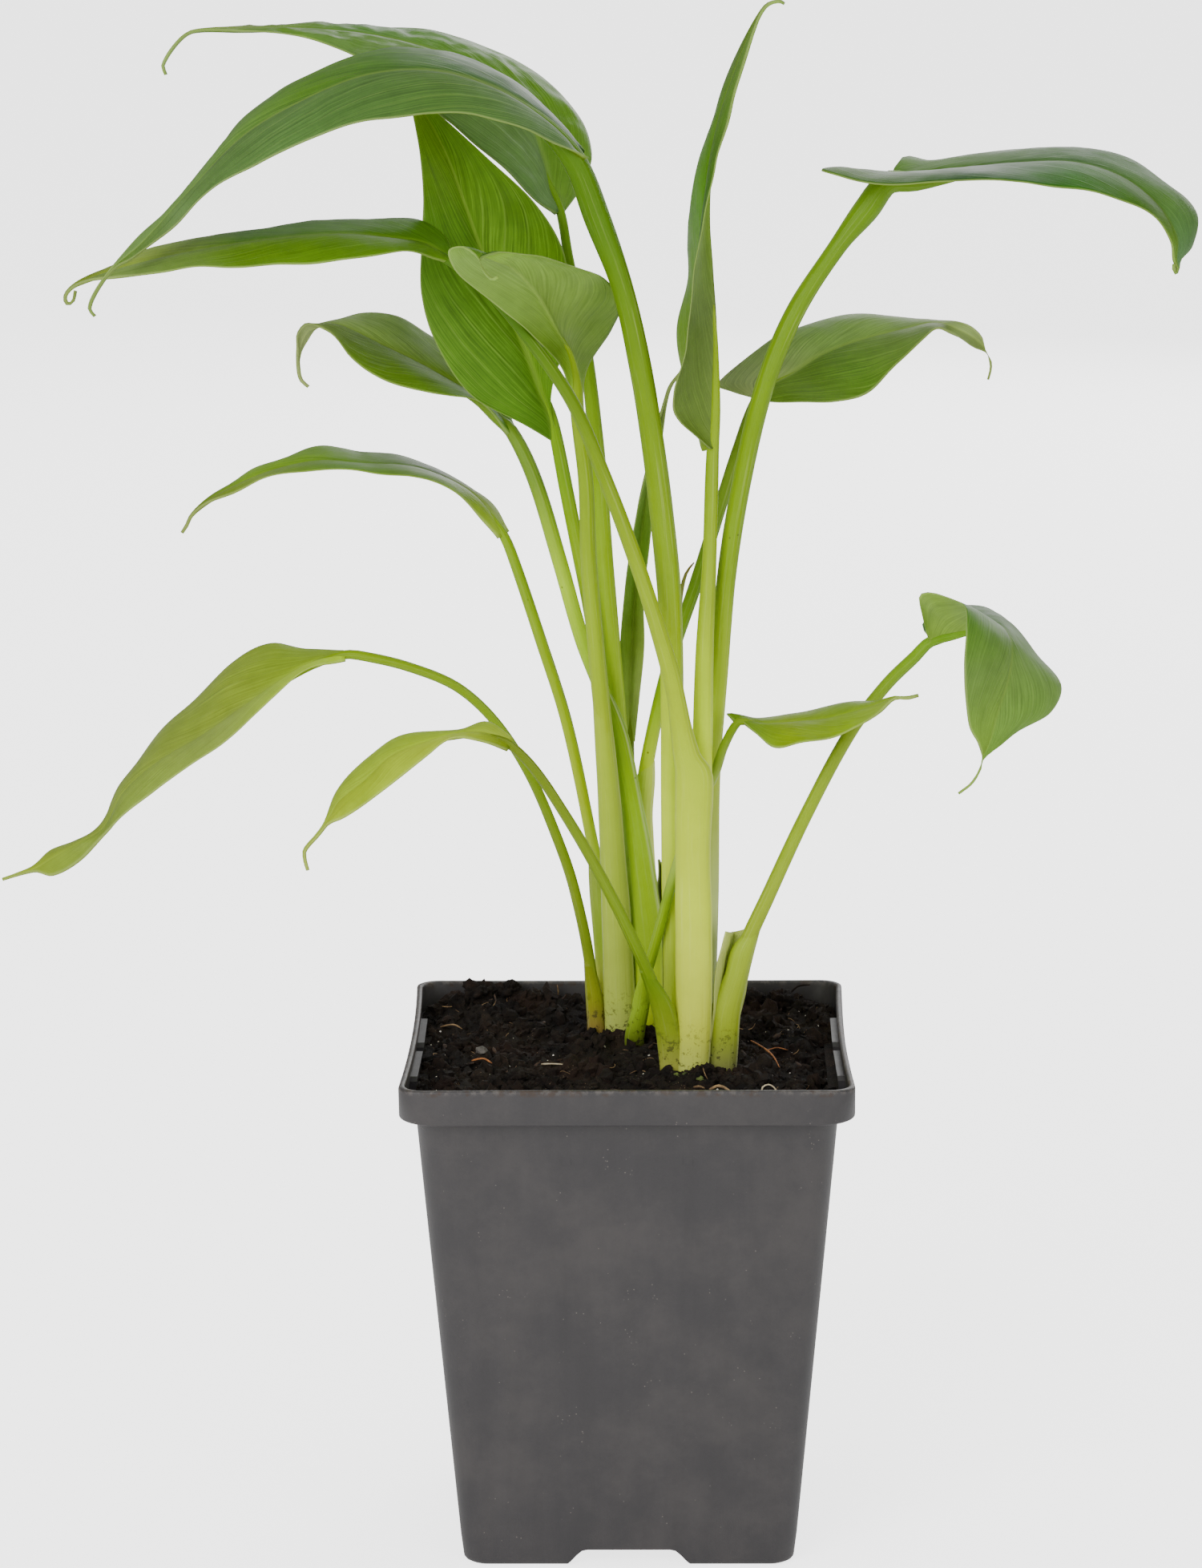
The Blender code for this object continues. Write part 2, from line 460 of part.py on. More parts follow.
def make_pot(collection, cutters):
    foot = FOOT_ROUND
    rings = [
        rounded_square(BASE_HALF - foot, CORNER_RADIUS - foot, 0),
        rounded_square(body_half_at(foot), CORNER_RADIUS, foot),
        rounded_square(BODY_HALF, CORNER_RADIUS, BAND_LEVEL),
        rounded_square(RIM_HALF, CORNER_RADIUS, BAND_LEVEL),
        rounded_square(RIM_HALF, CORNER_RADIUS, POT_HEIGHT),
        rounded_square(RIM_HALF - POT_WALL, CORNER_RADIUS - POT_WALL, POT_HEIGHT),
        rounded_square(RIM_HALF - POT_WALL, CORNER_RADIUS - POT_WALL, LEDGE_LEVEL),
        rounded_square(BODY_HALF - POT_WALL, CORNER_RADIUS - POT_WALL, LEDGE_LEVEL),
        rounded_square(body_half_at(FLOOR) - POT_WALL, CORNER_RADIUS - POT_WALL, FLOOR),
    ]
    pot = add_object("pot", loft("pot", rings), collection, POT_GREY, 0.55)
    for side in range(4):
        roof = block("recess_roof",
                     (BASE_HALF - RECESS_DEPTH - POT_WALL, -RECESS_WIDTH / 2 - POT_WALL, FLOOR / 2),
                     (BASE_HALF - POT_WALL / 2, RECESS_WIDTH / 2 + POT_WALL,
                      RECESS_HEIGHT + POT_WALL), RECESS_NARROWING)
        add_side_cut(pot, roof, side, cutters, "UNION")
        for lug_side in (-1, 1):
            middle = lug_side * LUG_SPACING / 2
            top = BODY_HALF - POT_WALL
            lug = block("stacking_lug",
                        (top - LUG_PROUD, middle - LUG_WIDTH / 2, LEDGE_LEVEL - LUG_LENGTH),
                        (BODY_HALF - POT_WALL / 2, middle + LUG_WIDTH / 2,
                         LEDGE_LEVEL - POT_WALL / 2))
            add_side_cut(pot, lug, side, cutters, "UNION")
    for side in range(4):
        recess = block("recess",
                       (BASE_HALF - RECESS_DEPTH, -RECESS_WIDTH / 2, -RECESS_HEIGHT),
                       (BASE_HALF + RECESS_DEPTH, RECESS_WIDTH / 2, RECESS_HEIGHT),
                       RECESS_NARROWING)
        add_side_cut(pot, recess, side, cutters, "DIFFERENCE")
        drain = disc("drain", DRAIN_DIAMETER / 2, 0, 2 * RECESS_HEIGHT + POT_WALL,
                     (BASE_HALF - RECESS_DEPTH / 2, 0))
        add_side_cut(pot, drain, side, cutters, "DIFFERENCE")
    return pot


def add_side_cut(obj, mesh, side, cutters, operation):
    """Turn a cutter made for the +X side onto one of the four sides and apply it to obj."""
    cutter = add_cutter("%s_%s_%d" % (obj.name, mesh.name, side), mesh, cutters)
    cutter.rotation_euler.z = side * math.pi / 2
    cut_or_join(obj, cutter, operation)


def soil_height(x, y):
    """The soil's surface: level, with low heaps."""
    height = SOIL_LINE
    for heap_x, heap_y, rise, spread in SOIL_HEAPS:
        off = (x - heap_x) ** 2 + (y - heap_y) ** 2
        height += rise * math.exp(-off / (2 * spread ** 2))
    return height


def make_soil(collection, cutters):
    inner = POT_WALL + CLEARANCE
    corner = CORNER_RADIUS - inner
    ledge = LEDGE_LEVEL + CLEARANCE
    bottom = FLOOR + CLEARANCE
    rings = [
        rounded_square(body_half_at(bottom) - inner, corner, bottom),
        rounded_square(BODY_HALF - inner, corner, LEDGE_LEVEL),
        rounded_square(BODY_HALF - inner, corner, ledge),
        rounded_square(RIM_HALF - inner, corner, ledge),
    ]
    for share in SOIL_RINGS:
        ring = rounded_square((RIM_HALF - inner) * share, corner * share, 0)
        rings.append([(x, y, soil_height(x, y)) for x, y, z in ring])
    soil = add_object("soil", loft("soil", rings), collection, SOIL_BROWN, 0.95)
    for side in range(4):
        gap = POT_WALL + CLEARANCE
        add_side_cut(soil, block("over_recess",
                                 (BASE_HALF - RECESS_DEPTH - gap, -RECESS_WIDTH / 2 - gap, 0),
                                 (BASE_HALF, RECESS_WIDTH / 2 + gap,
                                  RECESS_HEIGHT + gap + CLEARANCE)), side, cutters, "DIFFERENCE")
        for lug_side in (-1, 1):
            middle = lug_side * LUG_SPACING / 2
            half = LUG_WIDTH / 2 + CLEARANCE
            notch = block("round_lug",
                          (BODY_HALF - POT_WALL - LUG_PROUD - CLEARANCE, middle - half,
                           LEDGE_LEVEL - LUG_LENGTH - CLEARANCE),
                          (BODY_HALF, middle + half, LEDGE_LEVEL))
            add_side_cut(soil, notch, side, cutters, "DIFFERENCE")
    for name, crown in CROWNS.items():
        pit_radius = crown_reach(name) + 2 * CLEARANCE
        outline = [(0, POT_HEIGHT + RIM_BAND), (pit_radius, POT_HEIGHT + RIM_BAND)]
        outline += rhizome_outline(max(pit_radius, CROWN_RADIUS), CLEARANCE)
        pocket = add_cutter("pocket_" + name, profile_mesh("pocket_" + name, outline), cutters)
        pocket.location = (crown[0], crown[1], 0)
        turn(pocket)
        cut_or_join(soil, pocket, "DIFFERENCE")
    return soil


def crown_of(leaf):
    return "right" if leaf in RIGHT_CLUMP else "left"


def crown_reach(crown):
    """How far the stalks of one clump reach from its middle where they stand in the soil."""
    middle = Vector(CROWNS[crown])
    rods = [leaf["stalk"] for name, leaf in LEAVES.items() if crown_of(name) == crown]
    if crown == "right":
        rods.append(SPEAR)
    reach = 0.0
    for rod in rods:
        foot = Vector(rod[0][:2]) * MM
        rise = Vector(rod[1][:2]) * MM - foot
        at_surface = foot + rise * (STALK_DEPTH / MM / (rod[1][2] - rod[0][2]))
        for place in (foot, at_surface):
            reach = max(reach, (place - middle).length + rod[0][3] * MM)
    return reach


def rhizome_outline(shoulder, grow):
    """Half outline of a squat rhizome, from the edge of its flat crown down to its axis."""
    top = SOIL_LINE - STALK_DEPTH - CROWN_GAP
    middle = top - RHIZOME_HEIGHT / 2
    belly = RHIZOME_RADIUS + grow
    outline = [(shoulder, top)]
    for step in range(1, 4):
        angle = step / 3 * math.pi / 2
        outline.append((shoulder + (belly - shoulder) * math.sin(angle),
                        middle + (top - middle) * math.cos(angle)))
    for step in range(1, 5):
        angle = step / 4 * math.pi / 2
        outline.append((belly * math.cos(angle),
                        middle - (RHIZOME_HEIGHT / 2 + grow) * math.sin(angle)))
    outline[-1] = (0, outline[-1][1])
    return outline


def profile_mesh(name, outline):
    mesh = bpy.data.meshes.new(name)
    edges = [(i, i + 1) for i in range(len(outline) - 1)]
    mesh.from_pydata([(radius, 0, height) for radius, height in outline], edges, [])
    return mesh


def turn(obj, steps=24):
    screw = obj.modifiers.new("turn", "SCREW")
    screw.axis = "Z"
    screw.steps = steps
    screw.render_steps = steps
    screw.use_merge_vertices = True
    screw.merge_threshold = 0.00001


def make_rhizomes(collection):
    for name, crown in CROWNS.items():
        outline = [(0, SOIL_LINE - STALK_DEPTH - CROWN_GAP)] + rhizome_outline(CROWN_RADIUS, 0)
        rhizome = add_object("rhizome_" + name, profile_mesh("rhizome_" + name, outline),
                             collection, RHIZOME_TAN, 0.8)
        rhizome.location = (crown[0], crown[1], 0)
        turn(rhizome)


def to_world(point):
    """A leaf point in millimetres above the soil line, as metres above the pot's underside."""
    return Vector((point[0] * MM, point[1] * MM, SOIL_LINE + point[2] * MM))


def chord_steps(points):
    """Running distance along a list of points."""
    lengths = [0.0]
    for start, end in zip(points, points[1:]):
        lengths.append(lengths[-1] + max((end - start).length, 1e-6))
    return lengths


def smooth_through(points, lengths, per_span):
    """A smooth curve through points spaced by lengths, with per_span steps in each span."""
    slopes = []
    for i in range(len(points)):
        low = max(i - 1, 0)
        high = min(i + 1, len(points) - 1)
        slopes.append((points[high] - points[low]) / (lengths[high] - lengths[low]))
    curve = []
    for i in range(len(points) - 1):
        span = lengths[i + 1] - lengths[i]
        for step in range(per_span):
            t = step / per_span
            curve.append(points[i] * (2 * t ** 3 - 3 * t ** 2 + 1)
                         + slopes[i] * (t ** 3 - 2 * t ** 2 + t) * span
                         + points[i + 1] * (3 * t ** 2 - 2 * t ** 3)
                         + slopes[i + 1] * (t ** 3 - t ** 2) * span)
    curve.append(points[-1])
    return curve


def add_rod(name, knots, collection, color, per_span=2):
    """A tapering round stalk through (point, radius) knots, as a capped curve."""
    points = [point for point, radius in knots]
    radii = [Vector((radius, 0, 0)) for point, radius in knots]
    lengths = chord_steps(points)
    route = smooth_through(points, lengths, per_span)
    widths = smooth_through(radii, lengths, per_span)
    curve = bpy.data.curves.new(name, "CURVE")
    curve.dimensions = "3D"
    curve.bevel_depth = 1.0
    curve.bevel_resolution = 2
    curve.use_fill_caps = True
    spline = curve.splines.new("POLY")
    spline.points.add(len(route) - 1)
    for knot, point, width in zip(spline.points, route, widths):
        knot.co = (point.x, point.y, point.z, 1)
        knot.radius = width.x
    return add_object(name, curve, collection, color, 0.5)


def blade_rows(leaf):
    """Rows of (left, midrib, right) vectors down a leaf, its tail included."""
    rows = [tuple(to_world(point) for point in row) for row in leaf["blade"]]
    side = rows[-1][0] - rows[-1][2]
    half = side.length / 2
    previous = rows[-1][1]
    count = len(leaf["tail"])
    for i, point in enumerate(leaf["tail"]):
        point = to_world(point)
        along = (point - previous).normalized()
        side = (side - along * side.dot(along)).normalized()
        share = (i + 1) / count
        width = min(half, TAIL_HALF_WIDTH) * (1 - share) + TIP_HALF_WIDTH * share
        rows.append((point + side * width, point, point - side * width))
        previous = point
    return rows


def add_blade(name, rows, collection, color, per_span=2):
    """A leaf blade: a smooth sheet over its rows, arched each side of the midrib, made solid."""
    lengths = chord_steps([row[1] for row in rows])
    left, rib, right = (smooth_through([row[i] for row in rows], lengths, per_span)
                        for i in range(3))
    mesh = bpy.data.meshes.new(name)
    build = bmesh.new()
    previous = None
    for i in range(len(rib)):
        along = rib[min(i + 1, len(rib) - 1)] - rib[max(i - 1, 0)]
        face = along.cross(left[i] - right[i]).normalized()
        line = [left[i],
                (left[i] + rib[i]) / 2 + face * (left[i] - rib[i]).length * ARCH,
                rib[i],
                (right[i] + rib[i]) / 2 + face * (right[i] - rib[i]).length * ARCH,
                right[i]]
        loop = [build.verts.new(point) for point in line]
        if previous is not None:
            for k in range(len(loop) - 1):
                build.faces.new((previous[k + 1], previous[k], loop[k], loop[k + 1]))
        previous = loop
    build.to_mesh(mesh)
    build.free()
    blade = add_object(name, mesh, collection, color, 0.4)
    wall = blade.modifiers.new("thickness", "SOLIDIFY")
    wall.thickness = BLADE_THICKNESS
    wall.offset = 0.0
    return blade


def make_leaf(name, leaf, collection):
    rows = blade_rows(leaf)
    knots = [(to_world(point), point[3] * MM) for point in leaf["stalk"]]
    start = rows[0][1]
    along = (start - knots[-1][0]).normalized()
    knots.append((start - along * (3 * CLEARANCE + BLADE_THICKNESS), knots[-1][1] * STALK_END_SHARE))
    add_rod("leaf_%s_stalk" % name, knots, collection, STALK_GREEN)
    add_blade("leaf_%s_blade" % name, rows, collection, BLADE_GREEN)


def make_plant(collection):
    for name, leaf in LEAVES.items():
        make_leaf(name, leaf, collection)
    spear = [(to_world(point), point[3] * MM) for point in SPEAR]
    add_rod("young_spear", spear, collection, STALK_GREEN)
    add_blade("torn_sheath", blade_rows({"blade": TORN_SHEATH, "tail": []}), collection,
              PALE_GREEN)
    add_blade("dry_bract", blade_rows({"blade": DRY_BRACT, "tail": DRY_BRACT_TAIL}), collection,
              DRY_BROWN)


def main():
    clear_scene()
    parts = new_collection("potted_calla_lily")
    cutters = new_collection("cutters")
    make_pot(parts, cutters)
    make_soil(parts, cutters)
    make_rhizomes(parts)
    make_plant(parts)


main()
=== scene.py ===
"""Potted calla lily in leaf, in its square nursery pot.

Points of the plant are in millimetres from the pot's axis, with heights above the soil line.
"""
import json
import math

import bmesh
import bpy
import numpy as np
from mathutils import Matrix, Vector, noise

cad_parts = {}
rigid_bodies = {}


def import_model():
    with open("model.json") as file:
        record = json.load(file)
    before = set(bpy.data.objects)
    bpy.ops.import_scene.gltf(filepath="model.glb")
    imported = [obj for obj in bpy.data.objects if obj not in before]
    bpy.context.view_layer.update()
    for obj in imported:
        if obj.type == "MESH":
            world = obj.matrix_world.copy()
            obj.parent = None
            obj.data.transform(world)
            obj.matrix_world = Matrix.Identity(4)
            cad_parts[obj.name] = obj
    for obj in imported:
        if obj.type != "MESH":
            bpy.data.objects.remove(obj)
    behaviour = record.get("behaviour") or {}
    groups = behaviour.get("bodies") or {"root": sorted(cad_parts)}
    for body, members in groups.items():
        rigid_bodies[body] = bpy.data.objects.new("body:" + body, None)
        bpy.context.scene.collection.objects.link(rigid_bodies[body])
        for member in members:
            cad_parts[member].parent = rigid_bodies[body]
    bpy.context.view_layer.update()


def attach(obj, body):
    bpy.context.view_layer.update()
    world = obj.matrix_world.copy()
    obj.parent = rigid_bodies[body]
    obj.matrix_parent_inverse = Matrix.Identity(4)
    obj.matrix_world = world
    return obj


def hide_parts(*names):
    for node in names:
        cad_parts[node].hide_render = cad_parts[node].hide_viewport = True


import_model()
MM = 0.001

# Pot
POT_HEIGHT = 0.102
RIM_HALF = 0.045
RIM_BAND = 0.0072
BODY_HALF = 0.0417
BASE_HALF = 0.0334
POT_WALL = 0.0012
CORNER_RADIUS = 0.008
RECESS_WIDTH = 0.025
RECESS_TOP_WIDTH = 0.019
RECESS_HEIGHT = 0.0035
RECESS_DEPTH = 0.014
DRAIN_RADIUS = 0.0035
LUG_LENGTH = 0.010
LUG_WIDTH = 0.0018
LUG_PROUD = 0.0016
LUG_SPACING = 0.024
LUG_DROP = 0.0006
LIP_CORNER = 0.0045
RIM_BOW = 0.001
LEDGE_RIB_START = 0.0025
LEDGE_RIB_END = 0.0240
LEDGE_RIB_TOP = 0.0992
LEDGE_RIB_INSET = 0.0014
LEDGE_RIB_BEVEL = 0.0009
BAND_LEVEL = POT_HEIGHT - RIM_BAND
LEDGE_LEVEL = BAND_LEVEL + POT_WALL

# Studio: each light's place, width and energy, and the camera's place and its own three directions
STAGE_REACH = 14.0
LIGHT_TARGET = (0, 0, 0.16)
LIGHTS = {"key": ((-0.8, -1.5, 0.95), 1.1, 27), "fill": ((1.1, -1.5, 0.5), 1.2, 12),
          "top": ((0.1, 0.1, 1.6), 1.0, 6), "rear": ((0.5, 1.6, 0.8), 1.2, 11)}
CAMERA_LENS = 120
CAMERA_SENSOR = 36
CAMERA_PLACE = (0.00734, -1.030647, 0.37076)
CAMERA_RIGHT = (0.99992604, 0.01123632, -0.00465303)
CAMERA_UP = (0.00223906, 0.20597113, 0.97855551)
CAMERA_BACK = (0.01195376, -0.97849355, 0.20593074)

# Soil
SOIL_LINE = 0.097
SOIL_HEAPS = [(-0.026, 0.038, 0.0035, 0.0105), (0.030, 0.032, 0.0022, 0.0122),
              (0.008, 0.004, 0.0008, 0.0122), (0.0140, -0.0120, 0.0013, 0.0045),
              (-0.0030, 0.0115, 0.0013, 0.0045)]
CROWNS = {"left": (0.0003, 0.0172), "right": (0.0136, -0.0064)}
CROWN_TOP = 0.0891
CROWN_RADIUS = 0.0082
RHIZOME_RADIUS = 0.0105
SOIL_GAP = 0.0003
SOIL_INSIDE = POT_WALL + SOIL_GAP

# Leaves: each stalk is (x, y, height, radius); each blade row is its left margin, its midrib
# and its right margin, seen on the upper face with the tip pointing away.
LEAVES = {
    "upper_rear": {
        "stalk": [(2.5, 19.5, -7, 1.9), (-0.5, 19.5, 29, 1.9), (-1.5, 18, 58, 1.9),
                  (-3, 17, 79.5, 1.85), (-4.5, 16, 99.5, 1.8), (-6, 16, 122.5, 1.6),
                  (-8.5, 16, 145.5, 1.3), (-11.5, 16, 161.5, 1)],
        "blade": [
            ((-14, 15, 170), (-13, 16, 171), (-12.5, 17, 170)),
            ((-17.5, 12, 173), (-15, 18, 174.5), (-9, 23, 174.5)),
            ((-22.5, 11, 178.5), (-16.5, 21, 180.5), (-7, 29, 181)),
            ((-30, 11, 184.5), (-19.5, 24, 188), (-9.5, 34, 188)),
            ((-39.5, 12, 192.5), (-26.5, 25, 196), (-18.5, 37, 197)),
            ((-47.5, 13, 198.5), (-37, 25, 201.5), (-29.5, 37, 202.5)),
            ((-57.5, 15, 203), (-50, 24, 205), (-45.5, 34, 206)),
            ((-68.5, 17, 206), (-64, 22, 206.5), (-61.5, 29, 207.5)),
            ((-78, 18, 206.5), (-76.5, 20, 206.5), (-76, 23, 207)),
        ],
        "tail": [(-86, 18, 206.5), (-89, 17, 204.5), (-92, 16, 200), (-91.5, 16, 198)],
    },
    "front_arch": {
        "stalk": [(9.6, -4.6, -7, 1.9), (9, -6, 35, 2.1), (9, -7.5, 61.5, 2.2), (9, -9, 81.5, 2.3),
                  (8.5, -11, 98, 2.35), (7, -11.5, 114, 2.35), (5.5, -12, 126.5, 2.3),
                  (3, -12, 142.5, 2.2), (-0.5, -13, 158.5, 2.1), (-5.5, -13, 172.5, 2)],
        "blade": [
            ((-7, -16, 184), (-9, -14, 183), (-8, -12, 185)),
            ((-12, -20, 187), (-11.5, -15, 188), (-11.5, -7, 189)),
            ((-19, -25, 190.5), (-18.5, -16, 194), (-17.5, -2, 194.5)),
            ((-29, -28, 193.5), (-27, -17, 198.5), (-25, 3, 199.5)),
            ((-41, -30, 194), (-37.5, -17, 201), (-36, 5, 203)),
            ((-53, -29, 191.5), (-50, -17, 200), (-48.5, 4, 203.5)),
            ((-65.5, -27, 186.5), (-62.5, -17, 195), (-62, 1, 199)),
            ((-77, -23, 180), (-73.5, -17, 188.5), (-74.5, -4, 191)),
            ((-87, -23, 172), (-83.5, -20, 178.5), (-84, -14, 179.5)),
            ((-94.5, -26, 166), (-93, -25, 168.5), (-94, -23, 169.5)),
        ],
        "tail": [(-98.5, -27, 164), (-101.5, -28, 160), (-103, -28, 156.5), (-102, -28, 155)],
    },
    "broad_rear": {
        "stalk": [(1.6, 15, -7, 1.2), (-2, 16.5, 16, 1.2), (-3, 15, 36.5, 1.3), (-5, 14, 67, 1.4),
                  (-7, 13.5, 87, 1.4), (-10, 12.5, 103.5, 1.4), (-12.5, 12, 117, 1.4)],
        "blade": [
            ((-14.5, 12, 124.5), (-14, 12, 125), (-13.5, 12, 124.5)),
            ((-20.5, 10, 128.5), (-15, 11, 130), (-15, 10, 131.5)),
            ((-30.5, 7, 134.5), (-17, 10, 135), (-14.5, 8, 137)),
            ((-37.5, 5, 145), (-20, 9, 143.5), (-12, 7, 145)),
            ((-40.5, 5, 155), (-24.5, 8, 154), (-11, 6, 154.5)),
            ((-40.5, 5, 164.5), (-28.5, 8, 163.5), (-12.5, 5, 164.5)),
            ((-40, 6, 174), (-32, 8, 173.5), (-18, 5, 173.5)),
            ((-40.5, 6, 182.5), (-35.5, 8, 183), (-27, 6, 182)),
            ((-42, 7, 191), (-40, 8, 191.5), (-37, 7, 191)),
        ],
        "tail": [(-42.5, 7, 195), (-44, 7, 197)],
    },
    "low_arch_left": {
        "stalk": [(12, -11.4, -7, 1.7), (12, -16, 37, 1.9), (12, -18, 63.5, 1.9), (9.5, -19, 80, 1.8),
                  (6, -19, 93, 1.6), (1.5, -18.5, 107, 1.5), (-4.5, -17.5, 123, 1.4),
                  (-10.5, -17, 137, 1.3), (-19.5, -16, 150, 1.2), (-28, -15, 159.5, 1)],
        "blade": [
            ((-35, -15, 164), (-34, -14, 164), (-33.5, -13, 165)),
            ((-40, -20, 166), (-38, -15, 167), (-35.5, -8, 168.5)),
            ((-46, -25, 166.5), (-44.5, -16, 168.5), (-41.5, -3, 171.5)),
            ((-55.5, -27, 165.5), (-54.5, -17, 169.5), (-52, 1, 170.5)),
            ((-66, -27, 165), (-65, -18, 169), (-65, 1, 169.5)),
            ((-77, -26, 164), (-77, -18, 167.5), (-77.5, -2, 168.5)),
            ((-88, -24, 163.5), (-88, -18, 165.5), (-89.5, -7, 166.5)),
            ((-97.5, -21, 162), (-98, -18, 163), (-98.5, -13, 164)),
            ((-104, -19, 161), (-104, -18, 161), (-104.5, -17, 161.5)),
        ],
        "tail": [(-107.5, -18, 159.5), (-109, -17, 157.5), (-108.5, -16, 156),
                 (-107.5, -15.5, 156.5), (-107, -15, 158.5)],
    },
    "pale_underside": {
        "stalk": [(-2.3, 14.9, -7, 1.8), (-3, 12, 17, 1.85), (-3, 9.5, 31, 1.9), (-4, 6, 58.5, 1.8),
                  (-6, 3, 82.5, 1.7), (-7.5, 1, 102, 1.6), (-8, 0, 118.5, 1.5)],
        "blade": [
            ((-8.5, -1, 132), (-9.5, -2, 133), (-10.5, -2, 135)),
            ((-7.5, 1, 141), (-11.5, -8, 145), (-13.5, -13, 144)),
            ((-3, 0, 149), (-14, -15, 151.5), (-18.5, -19, 150.5)),
            ((-1, -4, 155), (-16.5, -21, 157.5), (-24, -22.5, 155.5)),
            ((-4.5, -12, 160.5), (-19, -26, 161.5), (-29, -26.5, 160)),
            ((-11.5, -21, 164), (-22, -30, 165), (-32.5, -31, 164)),
            ((-18, -29, 166.5), (-24.5, -34, 166.5), (-33.5, -33, 168)),
            ((-24, -34, 167.5), (-26.5, -36, 167.5), (-30.5, -36, 169)),
        ],
        "tail": [(-27.5, -38, 167), (-26.5, -40, 165), (-25, -41, 163.5), (-24, -42, 164)],
    },
    "mid_left": {
        "stalk": [(6.2, 15.5, -7, 1.9), (2.5, 13, 30.5, 1.9), (1, 11.5, 51, 1.8), (-4, 10, 71, 1.6),
                  (-9, 10, 84.5, 1.5), (-13.5, 11, 100.5, 1.5), (-18.5, 15, 116.5, 1.5)],
        "blade": [
            ((-23.5, 17, 125.5), (-23, 18, 126), (-22.5, 19, 126.5)),
            ((-29, 13, 132), (-28.5, 18, 132), (-25.5, 24, 133)),
            ((-35.5, 10, 134), (-35, 18, 136), (-32, 28, 139)),
            ((-42.5, 8, 136.5), (-42, 18, 140), (-39.5, 29, 143.5)),
            ((-50, 8, 138.5), (-49, 18, 143.5), (-46, 27, 148)),
            ((-55.5, 10, 142), (-55, 18, 146.5), (-53.5, 24, 149.5)),
            ((-59.5, 14, 146.5), (-59, 17, 148), (-58.5, 20, 148.5)),
            ((-64, 14, 148.5), (-63.5, 15, 147.5), (-62.5, 17, 147)),
            ((-66, 14, 146.5), (-65, 15, 145.5), (-64, 16, 145)),
            ((-66, 14, 143.5), (-66, 15, 143), (-65.5, 16, 142.5)),
        ],
        "tail": [(-66, 15, 139.5), (-65.5, 15, 137), (-64, 15, 135.5)],
    },
    "narrow_arch": {
        "stalk": [(-4.6, 19.2, -7, 1.3), (-5.5, 18, 29, 1.3), (-8, 17.5, 44.5, 1.2),
                  (-12.5, 17, 66.5, 1.2), (-17.5, 17, 83, 1.2), (-23, 19, 99.5, 1.1)],
        "blade": [
            ((-26, 19, 104), (-25, 20, 104.5), (-24, 21, 105)),
            ((-31, 16, 111), (-29.5, 21, 111), (-28, 25, 110.5)),
            ((-36, 13, 115), (-35, 21, 115), (-35, 29, 114.5)),
            ((-44, 12, 118), (-43.5, 22, 118), (-44, 33, 118)),
            ((-53.5, 13, 118.5), (-53.5, 23, 118.5), (-55, 35, 119.5)),
            ((-63.5, 15, 118.5), (-63, 24, 119), (-63.5, 34, 120.5)),
            ((-72.5, 18, 116.5), (-72.5, 24, 117), (-73.5, 31, 118)),
            ((-81, 21, 113), (-81, 24, 113.5), (-81.5, 27, 114)),
            ((-86, 23, 110.5), (-86, 24, 110.5), (-86, 25, 111)),
        ],
        "tail": [(-89, 24, 108), (-90, 24, 106), (-91, 24, 104.5)],
    },
    "low_left": {
        "stalk": [(-6.6, 15.2, -7, 1.1), (-7.5, 13, 13.5, 1.15), (-11, 10, 33, 1.1),
                  (-15, 7, 46, 1.05), (-20, 4, 58.5, 1), (-26.5, 1, 69.5, 1), (-34, -1, 77, 1),
                  (-43.5, -3, 81.5, 1), (-52.5, -4.5, 84, 1)],
        "blade": [
            ((-56, -6, 83.5), (-56.5, -5, 84.5), (-56.5, -4, 85)),
            ((-63, -12, 82.5), (-63, -7, 83), (-64, 2, 84)),
            ((-70, -17, 78), (-69.5, -9, 79.5), (-71.5, 6, 84.5)),
            ((-77.5, -20, 71.5), (-77, -11, 74.5), (-80, 6, 80.5)),
            ((-85, -22, 66), (-84.5, -13, 69.5), (-87.5, 3, 73.5)),
            ((-93, -22, 61), (-92.5, -15, 65), (-94.5, -2, 67.5)),
            ((-99.5, -21, 55), (-99.5, -16, 59), (-101, -9, 59)),
            ((-103.5, -19, 51), (-104, -17, 51.5), (-105, -15, 52)),
            ((-108.5, -19, 46), (-109.5, -18, 48.5), (-110.5, -14, 48.5)),
            ((-114, -20, 43), (-114, -19, 46), (-115, -16, 47)),
            ((-117.5, -20, 43.5), (-117.5, -20, 44), (-118, -19, 44.5)),
        ],
        "tail": [(-121, -20, 43), (-124, -20, 42)],
    },
    "small_front": {
        "stalk": [(8.8, -9.8, -7, 1.2), (7, -15, 13, 1.2), (1, -21, 30, 1.15), (-6.5, -26, 46.5, 1.1),
                  (-13, -29, 58.5, 1), (-18, -31, 66.5, 0.95)],
        "blade": [
            ((-23, -33, 70.5), (-22.5, -32, 71.5), (-22, -31, 72.5)),
            ((-27.5, -36, 73), (-27.5, -33, 74), (-27, -30, 75.5)),
            ((-33, -37, 73.5), (-33, -34, 74), (-32.5, -30, 74)),
            ((-38, -40, 71), (-39, -35, 72.5), (-39.5, -29, 73.5)),
            ((-43.5, -42, 67.5), (-45.5, -36, 70), (-46.5, -29, 71.5)),
            ((-49.5, -42, 62.5), (-50.5, -37, 65.5), (-52.5, -31, 67)),
            ((-55, -41, 59), (-55.5, -38, 61.5), (-56.5, -34, 62.5)),
            ((-58, -39, 57), (-58, -38.5, 57.5), (-58.5, -38, 57.5)),
        ],
        "tail": [(-60, -39, 55), (-62.5, -39, 52), (-62.5, -39, 50), (-62, -39, 48)],
    },
    "tall_folded": {
